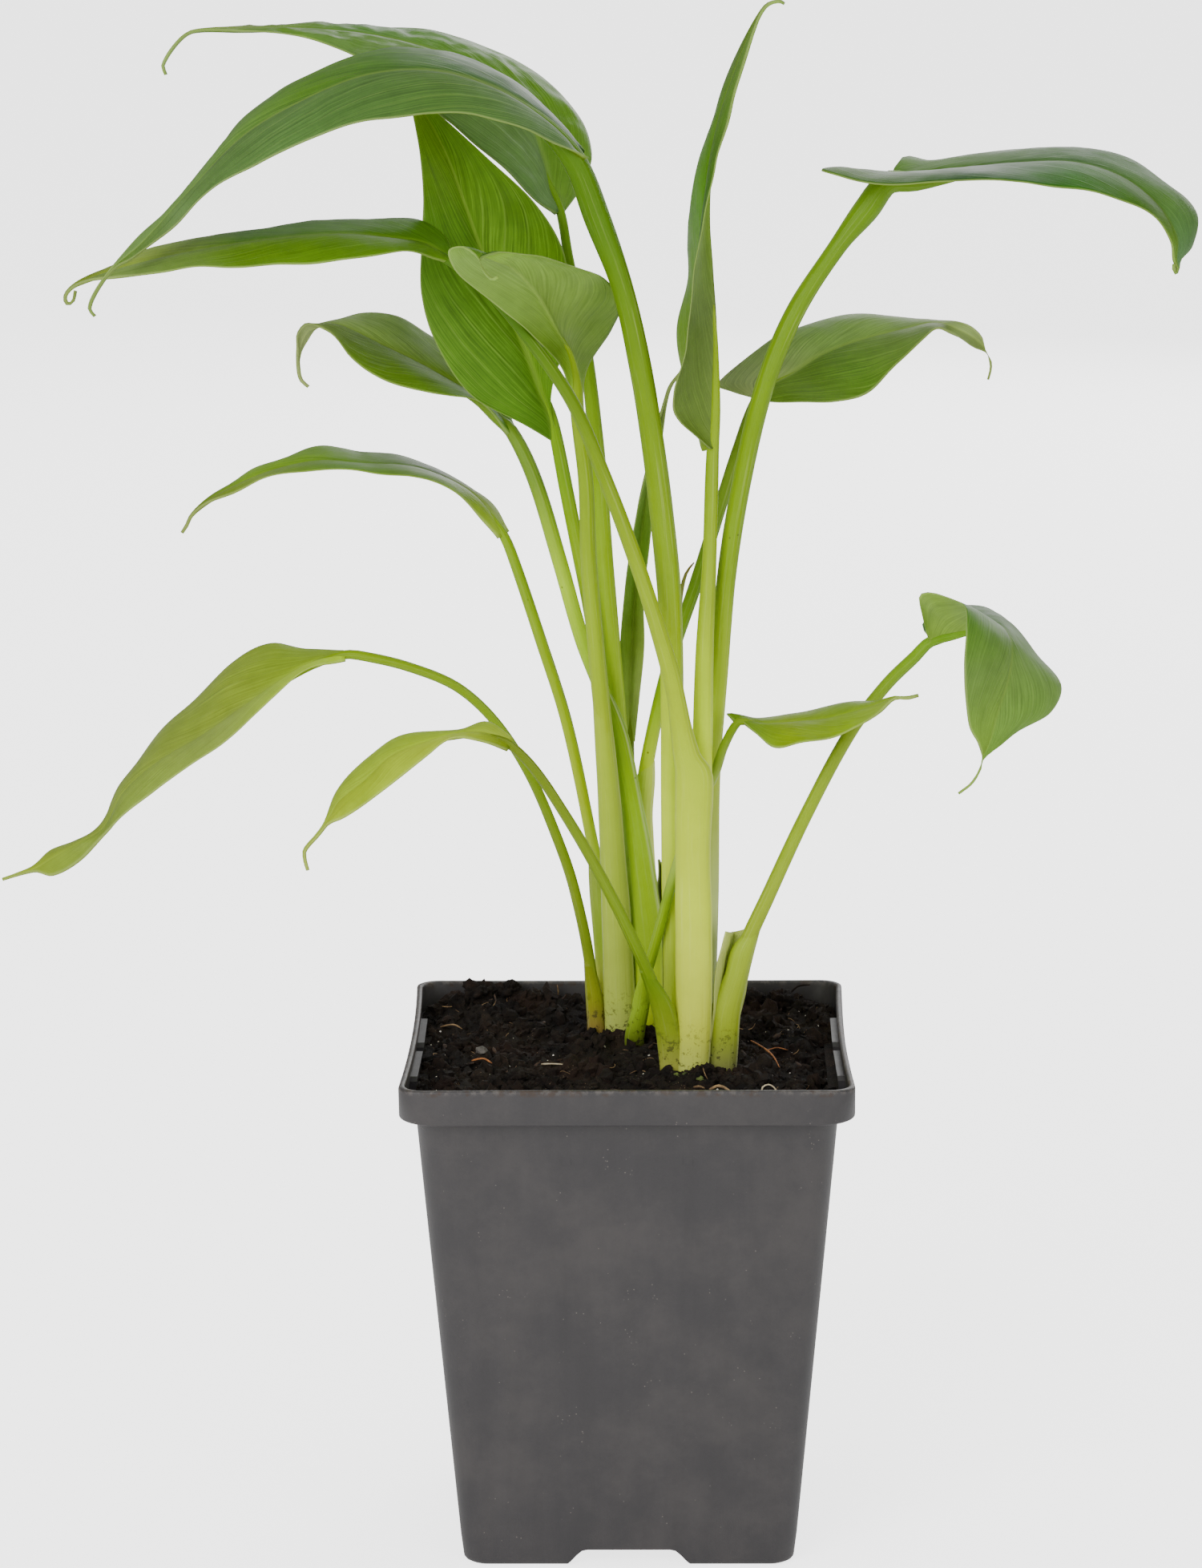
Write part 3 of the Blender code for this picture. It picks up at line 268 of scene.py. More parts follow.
        "stalk": [(14.4, -6.8, -7, 2), (14.5, -11.5, 36, 2), (15, -12, 62.5, 2), (15.5, -11, 85, 1.8),
                  (16.5, -8, 103.5, 1.4), (17, -6.5, 119.5, 1.35)],
        "blade": [
            ((15.5, -4, 125), (17, -6, 126), (16.5, -8, 126)),
            ((14, 2, 128.5), (17, -6, 132), (10.5, -12, 132)),
            ((11.5, 6, 138.5), (17, -6, 141.5), (10, -15, 138)),
            ((10.5, 9, 145.5), (17, -5, 151), (12, -16, 147.5)),
            ((12, 12, 157), (16.5, -4, 161), (13.5, -14, 157.5)),
            ((12.5, 12, 169), (16, -2, 170.5), (15, -11, 166.5)),
            ((14.5, 11, 181.5), (16.5, 0, 179.5), (17, -6, 176.5)),
            ((18, 10, 191), (18.5, 3, 189.5), (19.5, -1, 188.5)),
            ((21.5, 10, 200), (22, 6, 199.5), (23, 4, 199)),
            ((24.5, 9, 206.5), (25, 8, 206.5), (25.5, 7, 206.5)),
        ],
        "tail": [(27, 9, 210.5), (28.5, 10, 212), (30.5, 10, 212.5), (31.5, 11, 212)],
    },
    "high_right": {
        "stalk": [(15.6, -2.4, -7, 1.9), (16.5, -4, 34.5, 1.9), (17, -4, 60.5, 1.8),
                  (18.5, -4, 80.5, 1.8), (20, -4, 100, 1.9), (23, -4, 119, 1.9), (27.5, -4, 138, 1.9),
                  (33.5, -3, 152.5, 1.9), (42, -2, 165.5, 1.8), (47.5, -1.5, 172.5, 1.7)],
        "blade": [
            ((52.5, 0, 178.5), (51.5, -1, 178), (51, -2, 179)),
            ((53.5, 5, 180.5), (52.5, -1, 178), (44, -6, 180.5)),
            ((55.5, 11, 182), (53.5, -1, 178.5), (38, -9, 181)),
            ((61.5, 15, 181), (57.5, 0, 179), (45, -14, 179)),
            ((72, 18, 181.5), (66, 1, 180), (60.5, -17, 179)),
            ((85, 19, 183), (77.5, 2, 181), (76, -17, 179)),
            ((97, 18, 181.5), (88.5, 3, 181), (88, -14, 177.5)),
            ((107, 15, 176.5), (98, 3, 178), (97, -10, 175)),
            ((113.5, 10, 170.5), (105, 2, 172.5), (103.5, -6, 171)),
            ((112.5, 5, 164.5), (108.5, 1, 166.5), (107, -3, 166)),
            ((109.5, 1, 162), (108.5, 0, 162), (108, -1, 162)),
        ],
        "tail": [(109, 0, 160.5), (108.5, -1, 159.5), (108, -1, 160.5), (108, -1, 161.5)],
    },
    "mid_right": {
        "stalk": [(6.6, 20.6, -7, 1.6), (3.5, 19, 32.5, 1.6), (3, 18, 49.5, 1.5), (5, 17, 63, 1.4),
                  (9, 16, 80, 1.35), (14, 15.5, 95, 1.35), (18.5, 15, 109.5, 1.3),
                  (22.5, 15, 122.5, 1.2)],
        "blade": [
            ((25.5, 15, 133), (26.5, 15, 133), (27.5, 15, 132.5)),
            ((21.5, 16, 134), (27.5, 15, 134), (30, 12, 132.5)),
            ((18.5, 18, 135), (29, 16, 135.5), (35, 9, 133)),
            ((24, 24, 139.5), (33, 17, 137.5), (41.5, 8, 133)),
            ((33, 29, 145), (40, 19, 141.5), (48.5, 9, 135)),
            ((44, 33, 148), (48.5, 22, 144), (54.5, 13, 140.5)),
            ((54.5, 34, 147), (56.5, 25, 145.5), (60, 19, 144.5)),
            ((62.5, 31, 146.5), (63, 27, 146.5), (63.5, 24, 145.5)),
            ((68.5, 28, 146.5), (68, 27, 145), (67.5, 28, 143.5)),
            ((72, 27, 144), (71.5, 27, 143), (70.5, 28, 141.5)),
            ((73, 27, 141), (73, 27, 141), (73, 27, 140.5)),
        ],
        "tail": [(74, 27, 138.5), (74, 27, 137), (73.5, 27, 135)],
    },
    "hanging_right": {
        "stalk": [(19.1, -8.8, -7, 1.75), (20.5, -10, 12.5, 1.8), (22.5, -10, 22.5, 1.6),
                  (28.5, -10, 36.5, 1.45), (36, -10, 53, 1.35), (44.5, -11, 69.5, 1.3),
                  (51.5, -13, 79.5, 1.25), (57, -15, 85.5, 1.2)],
        "blade": [
            ((60, -14, 89), (60, -16, 89), (59.5, -18, 89.5)),
            ((58.5, -9, 91), (61.5, -16, 89.5), (58, -22, 95)),
            ((61, -4, 93), (64, -16, 90.5), (57.5, -26, 99.5)),
            ((67, -2, 93.5), (67, -17, 91.5), (62, -30, 100)),
            ((72.5, -4, 93), (71, -19, 93), (65.5, -34, 99)),
            ((77, -9, 90), (74, -24, 92.5), (65.5, -39, 95.5)),
            ((81, -16, 86), (75, -30, 90), (65.5, -43, 90)),
            ((85.5, -23, 81), (74, -35, 85), (66, -43, 83)),
            ((83, -30, 77), (72, -38, 79.5), (66.5, -41, 76.5)),
            ((75, -36, 74), (70.5, -39, 74), (68, -40, 73)),
            ((69.5, -39, 70), (69, -39, 70), (69, -39, 70)),
        ],
        "tail": [(68.5, -39, 67.5), (67, -39, 65), (64.5, -39, 63)],
    },
    "small_right": {
        "stalk": [(1.4, 10.6, -7, 1), (2.5, 4, 11.5, 1.05), (4.5, -3, 20.5, 1.05), (6, -7.5, 27, 1.05),
                  (9, -10.5, 39, 1.05), (11.5, -9.5, 47, 1), (14, -8, 53.5, 1), (17.5, -8, 60.5, 1),
                  (19.5, -11, 67, 0.9)],
        "blade": [
            ((21.5, -12, 72), (22.5, -13, 72.5), (23.5, -14, 72)),
            ((20, -10, 73.5), (23.5, -13, 72.5), (25, -16, 71)),
            ((26, -8, 72), (27.5, -14, 72), (29, -20, 68.5)),
            ((32.5, -7, 73), (34, -15, 72.5), (34.5, -23, 70)),
            ((39, -8, 74.5), (40, -17, 73.5), (40.5, -24, 71)),
            ((45, -11, 76), (46, -19, 75.5), (46, -24, 73.5)),
            ((49.5, -16, 77), (50, -20, 77), (50, -22, 76)),
        ],
        "tail": [(53, -21, 78.5), (55.5, -21, 78.5), (57.5, -21, 79)],
    },
    "young_rolled": {
        "stalk": [(2.8, 23.7, -7, 1.1), (0.5, 23, 31.5, 1), (0.5, 22, 48.5, 0.9)],
        "blade": [
            ((0, 20, 61.5), (0.5, 20, 61.5), (1.5, 20, 61.5)),
            ((-1, 19, 71), (0.5, 21, 70.5), (2.5, 19, 71)),
            ((-1.5, 20, 81), (1, 23, 81), (3.5, 20, 81)),
            ((-0.5, 20, 91.5), (1.5, 23, 92), (3.5, 21, 91.5)),
            ((0.5, 21, 100.5), (2.5, 23, 101), (4.5, 22, 101)),
            ((2, 21, 109), (3.5, 23, 109.5), (5.5, 22, 110.5)),
            ((4, 22, 117.5), (5, 23, 118), (6.5, 23, 118.5)),
            ((6, 22, 126), (6.5, 23, 126), (7.5, 23, 126.5)),
        ],
        "tail": [(8, 23, 131.5), (9, 23, 134.5), (11, 24, 137)],
    },
}
SPEAR = [(12.2, -0.4, -7, 0.9), (10, -1.5, 37, 1), (10, -4, 70.5, 0.9), (10.5, -5.5, 93.5, 0.6),
         (11, -6, 97.5, 0.45), (12, -6, 101, 0.3), (13.5, -6, 103, 0.15)]
TORN_SHEATH = [
    ((16.4, -11.2, 3), (17.6, -5.4, 2), (21.6, -6.2, 3)),
    ((16.9, -12.4, 12), (18.6, -6.0, 11), (22.8, -6.8, 12)),
    ((18.0, -12.8, 22), (20.0, -6.2, 21), (24.4, -6.8, 21.5)),
    ((19.4, -12.8, 29.5), (21.3, -6.0, 27.5), (25.2, -6.6, 29)),
]
DRY_BRACT = [
    ((7.2, 3.8, 5.5), (7.7, 5, 5.5), (8.2, 3.8, 5.5)),
    ((7.0, 3.8, 22.5), (7.6, 4.6, 22), (8.2, 3.8, 22.5)),
    ((6.6, 3.6, 30.5), (7.3, 4.5, 30), (8.3, 3.9, 31.5)),
    ((6.1, 3.5, 34.5), (6.7, 4.6, 34.2), (7.7, 4.0, 35.5)),
    ((6.3, 3.8, 37.6), (6.9, 4.6, 37.7), (7.6, 4.0, 38)),
]
DRY_BRACT_TAIL = [(6.4, 4, 40.2)]

# Loose things on the soil: roots and straws through points, and clods (x, y, height, radius,
# flatness), in millimetres.
STRANDS = [
    ("orange_root", [(25.2, 9.5, 0.9), (26.6, 4, 1.5), (28.2, -1, 1.7), (29.6, -6, 1.5),
                     (30.6, -11.5, 0.8)], 0.19, "root"),
    ("orange_root_branch", [(28.2, -1, 1.6), (30.4, 1.2, 1.6), (32.6, 1.6, 1.0)], 0.13, "root"),
    ("brown_sliver", [(-31.6, -6.4, 1.0), (-29.3, -7.4, 1.7), (-27.4, -9.6, 1.3)], 0.22, "root"),
    ("curled_straw", [(-39.0, 19.6, 1.3), (-37.4, 18.9, 1.9), (-36.0, 19.3, 1.8), (-34.5, 18.4, 1.2)],
     0.20, "strand"),
    ("white_root_loop", [(26.6, -30.2, 0.6), (26.9, -29.2, 1.6), (28.2, -29.0, 2.0), (29.4, -30.2, 1.3),
                         (28.9, -32.0, 0.7)], 0.16, "pale_root"),
    ("tan_strip", [(16.3, -28.6, 0.9), (18.2, -28.0, 1.5), (20.5, -29.6, 0.9)], 0.30, "strand"),
    ("tan_strip_short", [(13.2, -26.4, 0.8), (14.3, -27.4, 1.2), (15.4, -27.2, 0.8)], 0.24, "strand"),
    ("back_straw", [(-15.4, 41.6, 1.2), (-15.0, 41.2, 3.2), (-15.2, 40.6, 5.0)], 0.16, "strand"),
    ("back_fibre", [(33.4, 40.8, 2.4), (35.6, 41.2, 4.4), (38.2, 40.6, 4.9)], 0.22, "peat_crumb"),
    ("left_root", [(-17.5, -8.5, 0.8), (-14.4, -10.6, 1.4), (-11.0, -10.2, 0.9)], 0.17, "pale_root"),
    ("near_root", [(-4.2, -30.6, 0.6), (-1.4, -31.4, 1.3), (1.8, -30.4, 0.8)], 0.15, "root"),
]
CLODS = [(13.2, -12.6, 0.2, 1.1, 0.8), (16.0, -12.2, 0.1, 1.0, 0.8), (11.0, -11.8, 0.2, 1.2, 0.8),
         (18.8, -11.4, 0.2, 1.1, 0.8), (8.6, -12.6, 0.1, 1.1, 0.8), (-0.9, 10.8, 0.4, 1.3, 0.8),
         (-6.8, 13.2, 0.4, 1.1, 0.8), (-3.6, 11.8, 0.3, 1.2, 0.8), (-9.0, 14.4, 0.3, 1.2, 0.8),
         (1.0, 11.6, 1.4, 2.3, 0.8), (4.6, 10.8, 1.6, 2.1, 0.9), (7.8, 11.8, 1.3, 2.0, 0.8),
         (-2.4, 12.2, 1.0, 1.7, 0.8), (-31.5, 37.0, 4.2, 3.0, 0.8), (-25.4, 38.4, 4.4, 2.6, 0.8),
         (-36.4, 36.8, 2.6, 2.2, 0.8), (-20.2, 37.8, 3.0, 2.2, 0.8), (31.6, 35.6, 3.2, 2.7, 0.8),
         (26.4, 37.2, 2.7, 2.2, 0.8), (36.6, 33.2, 2.0, 2.0, 0.8), (-34.6, 6.2, 0.8, 2.0, 0.7),
         (-22.4, -18.6, 0.7, 1.9, 0.7), (-8.6, -25.6, 0.7, 2.0, 0.7), (33.8, -24.4, 0.7, 1.8, 0.7),
         (22.0, 20.4, 1.0, 2.1, 0.8), (2.6, -33.2, 0.5, 1.6, 0.7), (-36.2, -22.4, 0.6, 1.7, 0.7)]

# Sheaths at the stalks' feet, from the foot up: (height, x of the middle, half width).
SHEATHS = {
    "low_arch_left": [(-6, 13.9, 2.1), (0, 13.9, 2.2), (13, 14, 2.6), (30, 13.8, 2.9), (48, 13.5, 2.9),
                      (61, 13.5, 3.4), (64, 13, 3.3), (67, 12, 2.3), (79, 9, 2.5)],
    "pale_underside": [(-6, -1, 2.2), (2, -1, 2.3), (25, -1.6, 2.1), (38, -2.6, 2.1), (54, -3.9, 1.9),
                       (76, -5.7, 1.6)],
    "narrow_arch": [(-6, -4, 1.3), (1, -4, 1.4), (13, -5, 1.7), (33, -6.2, 1.9), (39, -7, 1.2)],
    "mid_left": [(-6, 4.8, 2.8), (14, 4.5, 3.3), (21, 4.2, 3.5), (37, 2.4, 2.9), (48, 0.8, 2.2),
                 (63, -1.4, 1.9), (69, -2.6, 1.3), (77, -4.5, 0.2)],
    "mid_right": [(-6, 3.6, 0.7), (45, 3.6, 0.7), (54, 2.8, 0.9), (58, 3.5, 0.2)],
    "hanging_right": [(-6, 17.4, 1.8), (5, 18, 2.1), (12.5, 19.7, 2.9), (20, 22, 2.3), (25, 23, 2),
                      (29, 23, 0.4)],
    "small_front": [(-6, 9.7, 1.8), (0, 9.7, 1.9), (9, 8.7, 1.8), (15.5, 7.3, 1.6), (23, 4.3, 1.2)],
    "small_right": [(-6, 0.9, 1.4), (3, 0.9, 1.5), (8, 2.4, 1.8), (13.5, 3.7, 1.1), (19, 5, 0.9)],
    "low_left": [(-6, -6.3, 1.4), (1.5, -6.3, 1.4), (9, -6.7, 1.4), (17, -8, 1.3)],
}
SHEATH_EDGES = {"low_arch_left": 356, "pale_underside": 345, "narrow_arch": 200, "mid_left": 322,
                "mid_right": 320, "hanging_right": 350, "small_front": 40, "small_right": 40,
                "low_left": 210}
# Colours of each sheath up from its foot, as (height, colour): the sheath's own colour with light and shade
# painted in, like the leaves' colours below.
SHEATH_LOOKS = {
    "low_arch_left": [(0, (186, 195, 110)), (9, (204, 213, 80)), (35, (197, 216, 40)), (72, (187, 209, 15))],
    "pale_underside": [(0, (178, 188, 115)), (9, (190, 206, 98)), (35, (170, 194, 60)), (60, (182, 204, 50))],
    "narrow_arch": [(0, (250, 250, 140)), (9, (245, 250, 128)), (20, (186, 219, 70)), (35, (158, 181, 72))],
    "mid_left": [(0, (196, 215, 68)), (9, (192, 214, 44)), (20, (152, 184, 38)), (50, (160, 200, 3)),
                 (72, (144, 181, 2))],
    "mid_right": [(0, (250, 250, 156)), (35, (234, 250, 126)), (52, (214, 235, 93))],
    "hanging_right": [(0, (120, 122, 80)), (9, (154, 172, 48)), (30, (148, 172, 32))],
    "small_front": [(0, (168, 170, 86)), (9, (136, 154, 47)), (20, (98, 128, 10))],
    "small_right": [(0, (80, 88, 40)), (9, (168, 203, 57)), (20, (155, 188, 24))],
    "low_left": [(0, (140, 104, 72)), (9, (150, 156, 50)), (20, (118, 136, 20))],
}

# Colours of each leaf, as red, green and blue from 0 to 255: the leaf's own colour with light and shade
# painted in, so much of the difference between a blade's two halves is painted shade and the pale
# blue-grey tones are a painted sheen. "upper" and "lower" list, down the blade, the share of its length
# and its colour on that face, or its left and right halves' colours; "stalk" lists the height above the
# soil and the stalk's colour there. "vein" is how clear the side veins are, "pucker" how wrinkled the
# blade is, "shine" how glossy, and "flare" how much the stalk widens where it meets the blade.
LOOKS = {
    "upper_rear": {
        "upper": [(0, (108, 144, 108), (118, 160, 66)), (0.3, (102, 136, 80), (86, 130, 5)),
                  (0.6, (84, 128, 12), (68, 120, 10)), (1, (112, 150, 36), (150, 172, 68))],
        "lower": [(0, (102, 135, 70)), (1, (111, 139, 93))],
        "stalk": [(0, (250, 250, 200)), (35, (204, 233, 92)), (75, (202, 232, 58)), (100, (170, 204, 4)),
                  (150, (115, 158, 12))],
        "vein": 0.35, "pucker": 0.5, "shine": 0.5,
    },
    "front_arch": {
        "upper": [(0, (95, 126, 98), (38, 86, 2)), (0.25, (70, 104, 50), (40, 88, 2)),
                  (0.5, (84, 118, 78), (80, 124, 15)), (0.75, (92, 120, 86), (108, 145, 92)),
                  (1, (94, 130, 10), (120, 150, 110))],
        "lower": [(0, (104, 134, 20)), (0.5, (92, 124, 28)), (1, (100, 130, 50))],
        "stalk": [(0, (174, 196, 64)), (20, (168, 190, 52)), (50, (212, 234, 48)), (75, (202, 225, 12)),
                  (100, (148, 178, 2)), (170, (88, 128, 2))],
        "vein": 0.75, "flare": 1.3,
    },
    "broad_rear": {
        "upper": [(0, (78, 122, 2), (92, 140, 2)), (0.3, (97, 140, 42), (104, 147, 2)),
                  (0.6, (82, 124, 2), (90, 130, 2)), (1, (128, 168, 6), (108, 154, 3))],
        "lower": [(0, (112, 138, 50)), (1, (118, 142, 60))],
        "stalk": [(0, (236, 248, 4)), (40, (206, 224, 2)), (72, (198, 220, 2)), (117, (130, 172, 2))],
        "vein": 0.85,
    },
    "low_arch_left": {
        "upper": [(0, (98, 142, 5), (84, 130, 2)), (0.5, (100, 138, 18), (68, 113, 2)),
                  (0.75, (128, 156, 98), (144, 168, 60)), (1, (90, 108, 40), (90, 106, 34))],
        "lower": [(0, (104, 134, 24)), (1, (128, 148, 70))],
        "stalk": [(0, (168, 176, 42)), (15, (212, 222, 38)), (40, (204, 223, 20)), (75, (184, 205, 5)),
                  (100, (160, 185, 2)), (150, (78, 118, 2))],
        "vein": 0.5,
    },
    "pale_underside": {
        "upper": [(0, (60, 100, 2), (78, 120, 2)), (1, (60, 102, 2), (82, 124, 2))],
        "lower": [(0, (168, 212, 65)), (0.25, (129, 156, 88), (106, 139, 42)),
                  (0.75, (140, 174, 98), (130, 160, 100)), (1, (153, 206, 68))],
        "stalk": [(0, (163, 174, 74)), (25, (178, 198, 68)), (60, (182, 201, 34)), (95, (166, 194, 10)),
                  (120, (147, 176, 5))],
        "vein": 0.4,
    },
    "mid_left": {
        "upper": [(0, (92, 146, 2), (94, 146, 2)), (0.3, (98, 134, 20), (116, 148, 56)),
                  (0.6, (102, 134, 36), (148, 175, 118)), (1, (150, 162, 120), (178, 196, 178))],
        "lower": [(0, (140, 168, 102), (155, 185, 114)), (0.5, (158, 180, 150), (180, 199, 170)),
                  (1, (140, 145, 120))],
        "stalk": [(0, (175, 214, 8)), (60, (174, 213, 6)), (75, (170, 208, 14)), (95, (198, 235, 30)),
                  (117, (126, 160, 54))],
        "vein": 0.6,
    },
    "narrow_arch": {
        "upper": [(0, (170, 196, 70), (186, 206, 138)), (0.25, (100, 134, 2), (54, 84, 2)),
                  (0.5, (96, 140, 2), (100, 140, 2)), (0.75, (134, 162, 50), (132, 175, 6)),
                  (1, (104, 114, 58))],
        "lower": [(0, (140, 158, 60)), (1, (142, 156, 90))],
        "stalk": [(0, (212, 246, 130)), (20, (184, 220, 96)), (50, (184, 206, 14)), (95, (146, 180, 2))],
        "vein": 0.35,
    },
    "low_left": {
        "upper": [(0, (205, 240, 24), (146, 175, 10)), (0.3, (158, 178, 98), (145, 164, 60)),
                  (0.7, (132, 154, 76), (138, 158, 78)), (1, (140, 158, 34), (160, 180, 42))],
        "lower": [(0, (160, 174, 84)), (0.5, (152, 164, 92)), (1, (150, 162, 80))],
        "stalk": [(0, (150, 104, 66)), (9, (150, 162, 56)), (20, (125, 146, 38)), (60, (124, 154, 8)),
                  (95, (142, 172, 2))],
        "vein": 0.4,
    },
    "small_front": {
        "upper": [(0, (112, 132, 14), (162, 180, 72)), (0.25, (196, 216, 64), (170, 198, 36)),
                  (0.6, (170, 192, 32), (176, 202, 54)), (1, (175, 190, 56), (160, 180, 68))],
        "lower": [(0, (136, 150, 50)), (1, (160, 170, 84))],
        "stalk": [(0, (176, 188, 98)), (20, (106, 136, 14)), (50, (115, 140, 18)), (70, (112, 131, 18))],
        "vein": 0.3,
    },
    "tall_folded": {
        "upper": [(0, (146, 176, 8), (68, 105, 6)), (0.5, (86, 142, 2), (58, 103, 2)),
                  (1, (94, 114, 60), (112, 142, 84))],
        "lower": [(0, (140, 160, 76), (106, 130, 64)), (0.3, (114, 136, 82), (104, 126, 82)),
                  (0.6, (130, 175, 56), (132, 171, 60)), (1, (144, 186, 74))],
        "stalk": [(0, (250, 250, 6)), (40, (240, 250, 4)), (72, (222, 248, 2)), (95, (171, 196, 2)),
                  (120, (151, 181, 3))],
        "vein": 0.25,
    },
    "high_right": {
        "upper": [(0, (82, 125, 17), (76, 115, 8)), (0.25, (64, 104, 24), (26, 76, 2)),
                  (0.5, (46, 95, 8), (48, 105, 2)), (0.75, (84, 122, 66), (68, 104, 16)),
                  (1, (99, 138, 120), (116, 160, 6))],
        "lower": [(0, (116, 142, 30)), (0.5, (94, 124, 44)), (1, (112, 140, 56))],
        "stalk": [(0, (220, 230, 190)), (20, (202, 215, 175)), (50, (174, 191, 92)), (75, (196, 222, 46)),
                  (100, (140, 172, 2)), (170, (108, 146, 2))],
        "vein": 0.35, "flare": 1.5,
    },
    "mid_right": {
        "upper": [(0, (148, 158, 134), (98, 128, 50)), (0.3, (112, 144, 80), (82, 116, 38)),
                  (0.6, (116, 146, 86), (102, 129, 64)), (0.8, (150, 168, 130), (124, 141, 106)),
                  (1, (100, 115, 45))],
        "lower": [(0, (112, 138, 50)), (1, (148, 160, 112))],
        "stalk": [(0, (246, 250, 80)), (35, (240, 250, 46)), (55, (222, 244, 30)), (72, (148, 188, 3)),
                  (95, (100, 136, 2)), (120, (120, 150, 35))],
        "vein": 0.6,
    },
    "hanging_right": {
        "upper": [(0, (60, 108, 2), (80, 130, 24)), (0.25, (62, 108, 4), (80, 126, 32)),
                  (0.5, (112, 144, 90), (106, 137, 80)), (1, (110, 152, 52), (128, 165, 48))],
        "lower": [(0, (162, 200, 80), (163, 200, 90)), (0.3, (135, 162, 114), (137, 163, 122)),
                  (1, (125, 154, 112))],
        "stalk": [(0, (120, 120, 60)), (9, (142, 158, 44)), (50, (142, 168, 22)), (72, (143, 168, 46)),
                  (90, (126, 174, 6))],
        "vein": 0.4,
    },
    "small_right": {
        "upper": [(0, (108, 142, 32)), (0.25, (138, 163, 6)), (0.6, (140, 174, 14), (146, 177, 28)),
                  (1, (146, 173, 18), (157, 176, 106))],
        "lower": [(0, (134, 150, 50)), (1, (142, 158, 70))],
        "stalk": [(0, (80, 86, 50)), (9, (172, 210, 36)), (35, (132, 167, 4)), (52, (182, 202, 112)),
                  (70, (120, 150, 3))],
        "vein": 0.4,
    },
    "young_rolled": {
        "upper": [(0, (200, 220, 150), (200, 215, 165)), (0.25, (139, 168, 83), (148, 168, 98)),
                  (0.5, (104, 145, 58), (96, 133, 34)), (1, (117, 128, 94))],
        "lower": [(0, (104, 124, 38), (116, 134, 56)), (0.5, (82, 108, 16), (96, 118, 30)),
                  (1, (118, 138, 58))],
        "stalk": [(0, (190, 196, 110)), (30, (150, 168, 50)), (48, (130, 150, 30))],
        "vein": 0.2,
    },
}

LEAF_STEP = 0.0009
BLADE_COLUMNS = 41
BLADE_THICK = 0.00055
MARGIN_THICK = 0.00022
RIB_TIP = 0.00022
TAIL_HALF = 0.0004
TIP_HALF = 0.00022
ARCH = 0.06
WAVE_RISE = 0.0005
PUCKER_RISE = 0.0009
RIB_MIDDLE = 0.0006
RIB_FAR = 0.0003
VEIN_PAIRS = 6.5
VEIN_SHARPNESS = 60.0
STREAKS = 74.0
STALK_SIDES = 28
LEAF_DEPTH = np.array([0.74, 0.78, 0.40])
# FOOT_DEPTH keeps the feet's colours brighter than LEAF_DEPTH keeps the rest: painted light that offsets the
# shade round the feet inside the pot.
FOOT_DEPTH = np.array([1.02, 1.02, 0.75])
SHEATH_SIDES = 40
SHEATH_LAP = 0.09
SHEATH_STEP = 0.001
SHEATH_EDGE_PALE = (226, 228, 190)
STALK_STEP = 0.0016
STRAND_STEP = 0.0006
CORNER_STEPS = 10
RIM_STEPS = 12
SOIL_STEPS = 22
SOIL_RINGS = 61


def linear(color):
    """A colour given from 0 to 255, as the linear values that a shader takes."""
    shares = np.asarray(color, float) / 255
    return np.where(shares > 0.04045, ((shares + 0.055) / 1.055) ** 2.4, shares / 12.92)


def smoothstep(low, high, value):
    t = np.clip((value - low) / (high - low), 0, 1)
    return t * t * (3 - 2 * t)


def stations_of(points):
    """Running distance along a list of points."""
    steps = np.linalg.norm(np.diff(points, axis=0), axis=1)
    return np.concatenate([[0], np.cumsum(np.maximum(steps, 1e-6))])


def smooth(points, stations, samples):
    """A smooth curve through points at the given stations, read at each sample."""
    points = np.asarray(points, float).reshape(len(points), -1)
    last = len(points) - 1
    low = np.maximum(np.arange(last + 1) - 1, 0)
    high = np.minimum(np.arange(last + 1) + 1, last)
    slopes = (points[high] - points[low]) / (stations[high] - stations[low])[:, None]
    span = np.clip(np.searchsorted(stations, samples, side="right") - 1, 0, last - 1)
    width = (stations[span + 1] - stations[span])[:, None]
    t = (samples - stations[span])[:, None] / width
    return (points[span] * (2 * t ** 3 - 3 * t ** 2 + 1)
            + slopes[span] * width * (t ** 3 - 2 * t ** 2 + t)
            + points[span + 1] * (3 * t ** 2 - 2 * t ** 3)
            + slopes[span + 1] * width * (t ** 3 - t ** 2))


def unit(vectors):
    return vectors / np.maximum(np.linalg.norm(vectors, axis=-1, keepdims=True), 1e-12)


def to_world(points):
    """Plant points, in millimetres above the soil line, in metres above the pot's underside."""
    points = np.asarray(points, float) * MM
    points[..., 2] += SOIL_LINE
    return points


def wander(points, scale, seed):
    """Smooth noise from -1 to 1 at each point, with features about 1/scale across."""
    flat = np.asarray(points).reshape(-1, 3)
    shift = Vector((seed * 7.31, seed * 3.17, seed * 5.77))
    values = [noise.noise(Vector(point) * scale + shift) for point in flat]
    return np.array(values).reshape(np.asarray(points).shape[:-1])


